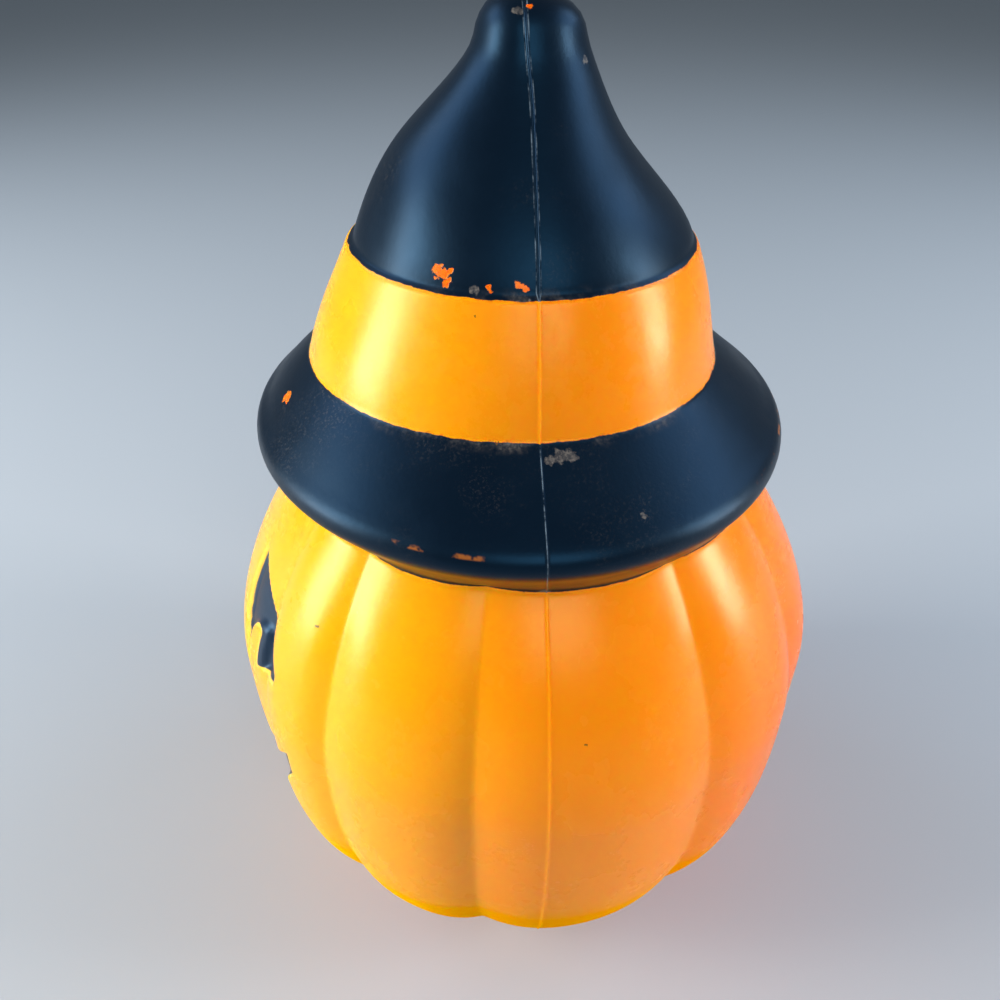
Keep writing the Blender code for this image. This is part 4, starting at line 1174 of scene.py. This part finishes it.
def coilPath():
    # an arch from lead to lead, wound in small turns about it
    c = coilSet
    t = np.linspace(0, 1, c["rows"])
    height = c["foot"] + c["rise"] * np.sin(math.pi * t) + c["radius"] + c["wire"]
    arch = np.stack([leadSet["line"][-1][0] * np.cos(math.pi * t), 0 * t, height], -1)
    ahead = unit(np.gradient(arch, axis=0))
    inPlane = np.cross(ahead, [0.0, 1.0, 0.0])
    wound = smoothStep(t, 0, c["plain"]) * (1 - smoothStep(t, 1 - c["plain"], 1))
    turn = (2 * math.pi * c["turns"] * t)[:, None]
    spiral = np.cos(turn) * inPlane + np.sin(turn) * np.array([0.0, 1.0, 0.0])
    return arch + c["radius"] * wound[:, None] * spiral


easeSet = {
    "mergeMm": 0.002,
    "flatDeg": 0.5,  # faces that meet flatter than this become one
    "sharpDeg": 30,
    "bevelDeg": 40,
    "segments": 2,
}
# CAD pieces that stay, with the bevel of their edges in millimetres
keptSet = {
    "socket_housing": ("socket_plastic", 0.25),
    "spring_clip_left": ("spring_steel", 0.1),
    "spring_clip_right": ("spring_steel", 0.1),
    "insulating_disc": ("fibre_disc", 0.12),
    "centre_contact": ("socket_brass", 0.06),
    "centre_rivet": ("socket_brass", 0.1),
    "shell_rivet": ("socket_brass", 0.1),
}


def keptCopy(node, finish, bevelMm):
    # the CAD piece itself, merged and smoothed, with its edges eased
    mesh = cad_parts[node].data.copy()
    work = bmesh.new()
    work.from_mesh(mesh)
    bmesh.ops.remove_doubles(work, verts=work.verts, dist=easeSet["mergeMm"] * mm)
    flat = math.radians(easeSet["flatDeg"])
    bmesh.ops.dissolve_limit(work, angle_limit=flat, verts=work.verts, edges=work.edges)
    work.to_mesh(mesh)
    work.free()
    first, *others = node.split("_")
    name = first + "".join(word.title() for word in others) + "Piece"
    piece = addKitPiece(name, node, mesh, "socket", finish, easeSet["sharpDeg"])
    bevel = piece.modifiers.new("easedEdges", "BEVEL")
    bevel.width = bevelMm * mm
    bevel.segments = easeSet["segments"]
    bevel.limit_method = "ANGLE"
    bevel.angle_limit = math.radians(easeSet["bevelDeg"])


for node, values in keptSet.items():
    keptCopy(node, *values)
addKitPiece("threadedShell", "socket_shell", makeShell(), "socket", "socket_brass")
addKitPiece("threadedCap", "bulb_cap", makeCap(), "bulb_base", "cap_nickel")
addKitPiece("glassBulb", "bulb_glass", makeGlass(), "glass", "clear_glass", 80)

# plain turned pieces: node, finish, edges sharper than this stay, rounding, (radius, along) corners
turnedSet = {
    "solderTip": (
        "tip_contact", "tip_solder", 50, 0.2, ((1.0, 2.45), (1.5, 2.8), (1.5, 3.15))),
    "capInsulatorGlass": (
        "cap_insulator", "cap_glass", 50, 0.25, ((1.5, 3.45), (4.8, 4.6), (4.8, 5.8))),
    "stemGlass": (
        "glass_stem", "clear_glass", 80, 0.5, ((3.6, 12.0), (3.6, 13.0), (1.9, 16.0), (1.9, 26.0))),
}
for name, (node, finish, sharpDeg, soft, corners) in turnedSet.items():
    profile = softCorners([(0, corners[0][1]), *corners, (0, corners[-1][1])], soft)
    addKitPiece(name, node, turnedMesh(name, profile, False), "bulb_base", finish, sharpDeg)
line = softCorners(leadSet["line"], leadSet["bend"])
for word, sign in (("left", 1), ("right", -1)):
    name = "lead" + word.title()
    path = np.stack([sign * line[:, 0], 0 * line[:, 0], line[:, 1]], -1)
    mesh = tubeMesh(name, path, leadSet["radius"], leadSet["sides"])
    addKitPiece(name, "lead_wire_" + word, mesh, "bulb_base", "lead_metal", 60)
mesh = tubeMesh("filamentCoil", coilPath(), coilSet["wire"], coilSet["sides"])
addKitPiece("filamentCoil", "filament", mesh, "bulb_base", "lead_metal", 80)
print("light done")


# floor and lights
stageSet = {
    "floorColour": (0.40, 0.42, 0.44, 1.0),
    "floorRoughness": 0.6,
    "floorReach": 4000,
    "worldColour": (0.70, 0.85, 1.0, 1.0),
    "worldStrength": 0.21,
    "lightsAim": 130,  # height that the lights face
}
# azimuth from the camera's side to the right and elevation in degrees; distance, width and height
# in metres; watts and colour
lightSet = {
    "windowLeft": (-80, 16, 1.3, 0.5, 0.9, 27, (1.0, 0.98, 0.94)),
    "windowRight": (84, 16, 1.3, 0.3, 0.8, 15, (1.0, 0.98, 0.96)),
    "skyLeft": (-105, 40, 1.4, 0.8, 0.5, 6, (0.45, 0.70, 1.0)),
    "skyRight": (108, 38, 1.4, 0.8, 0.5, 6, (0.45, 0.70, 1.0)),
    "fillFront": (12, 35, 1.7, 1.0, 1.0, 13, (1.0, 1.0, 1.0)),
}

reach = stageSet["floorReach"]
corners = [(-reach, -reach, 0), (reach, -reach, 0), (reach, reach, 0), (-reach, reach, 0)]
floor = newObject("floor", meshOf("floor", corners, [[0, 1, 2, 3]]))
material, tree, shader = newMaterial("paleFloor")
looks = {"Base Color": stageSet["floorColour"], "Roughness": stageSet["floorRoughness"]}
feed(tree, shader, looks)
floor.data.materials.append(material)

world = bpy.data.worlds.new("studio")
bpy.context.scene.world = world
world.use_nodes = True
looks = {"Color": stageSet["worldColour"], "Strength": stageSet["worldStrength"]}
feed(world.node_tree, world.node_tree.nodes["Background"], looks)


def softLight(name, azimuthDeg, elevationDeg, distance, width, height, watts, colour):
    # a panel that faces the object
    azimuth, elevation = math.radians(azimuthDeg), math.radians(elevationDeg)
    outward = (towards * math.cos(azimuth) + acrossFlat * math.sin(azimuth)) * math.cos(elevation)
    outward += Vector((0, 0, math.sin(elevation)))
    data = bpy.data.lights.new(name, "AREA")
    data.shape = "RECTANGLE"
    data.size, data.size_y = width, height
    data.energy = watts
    data.color = colour
    made = newObject(name, data)
    made.location = Vector((0, 0, stageSet["lightsAim"] * mm)) + outward * distance
    made.rotation_euler = outward.to_track_quat("Z", "Y").to_euler()


for name, values in lightSet.items():
    softLight(name, *values)
print("stage done")
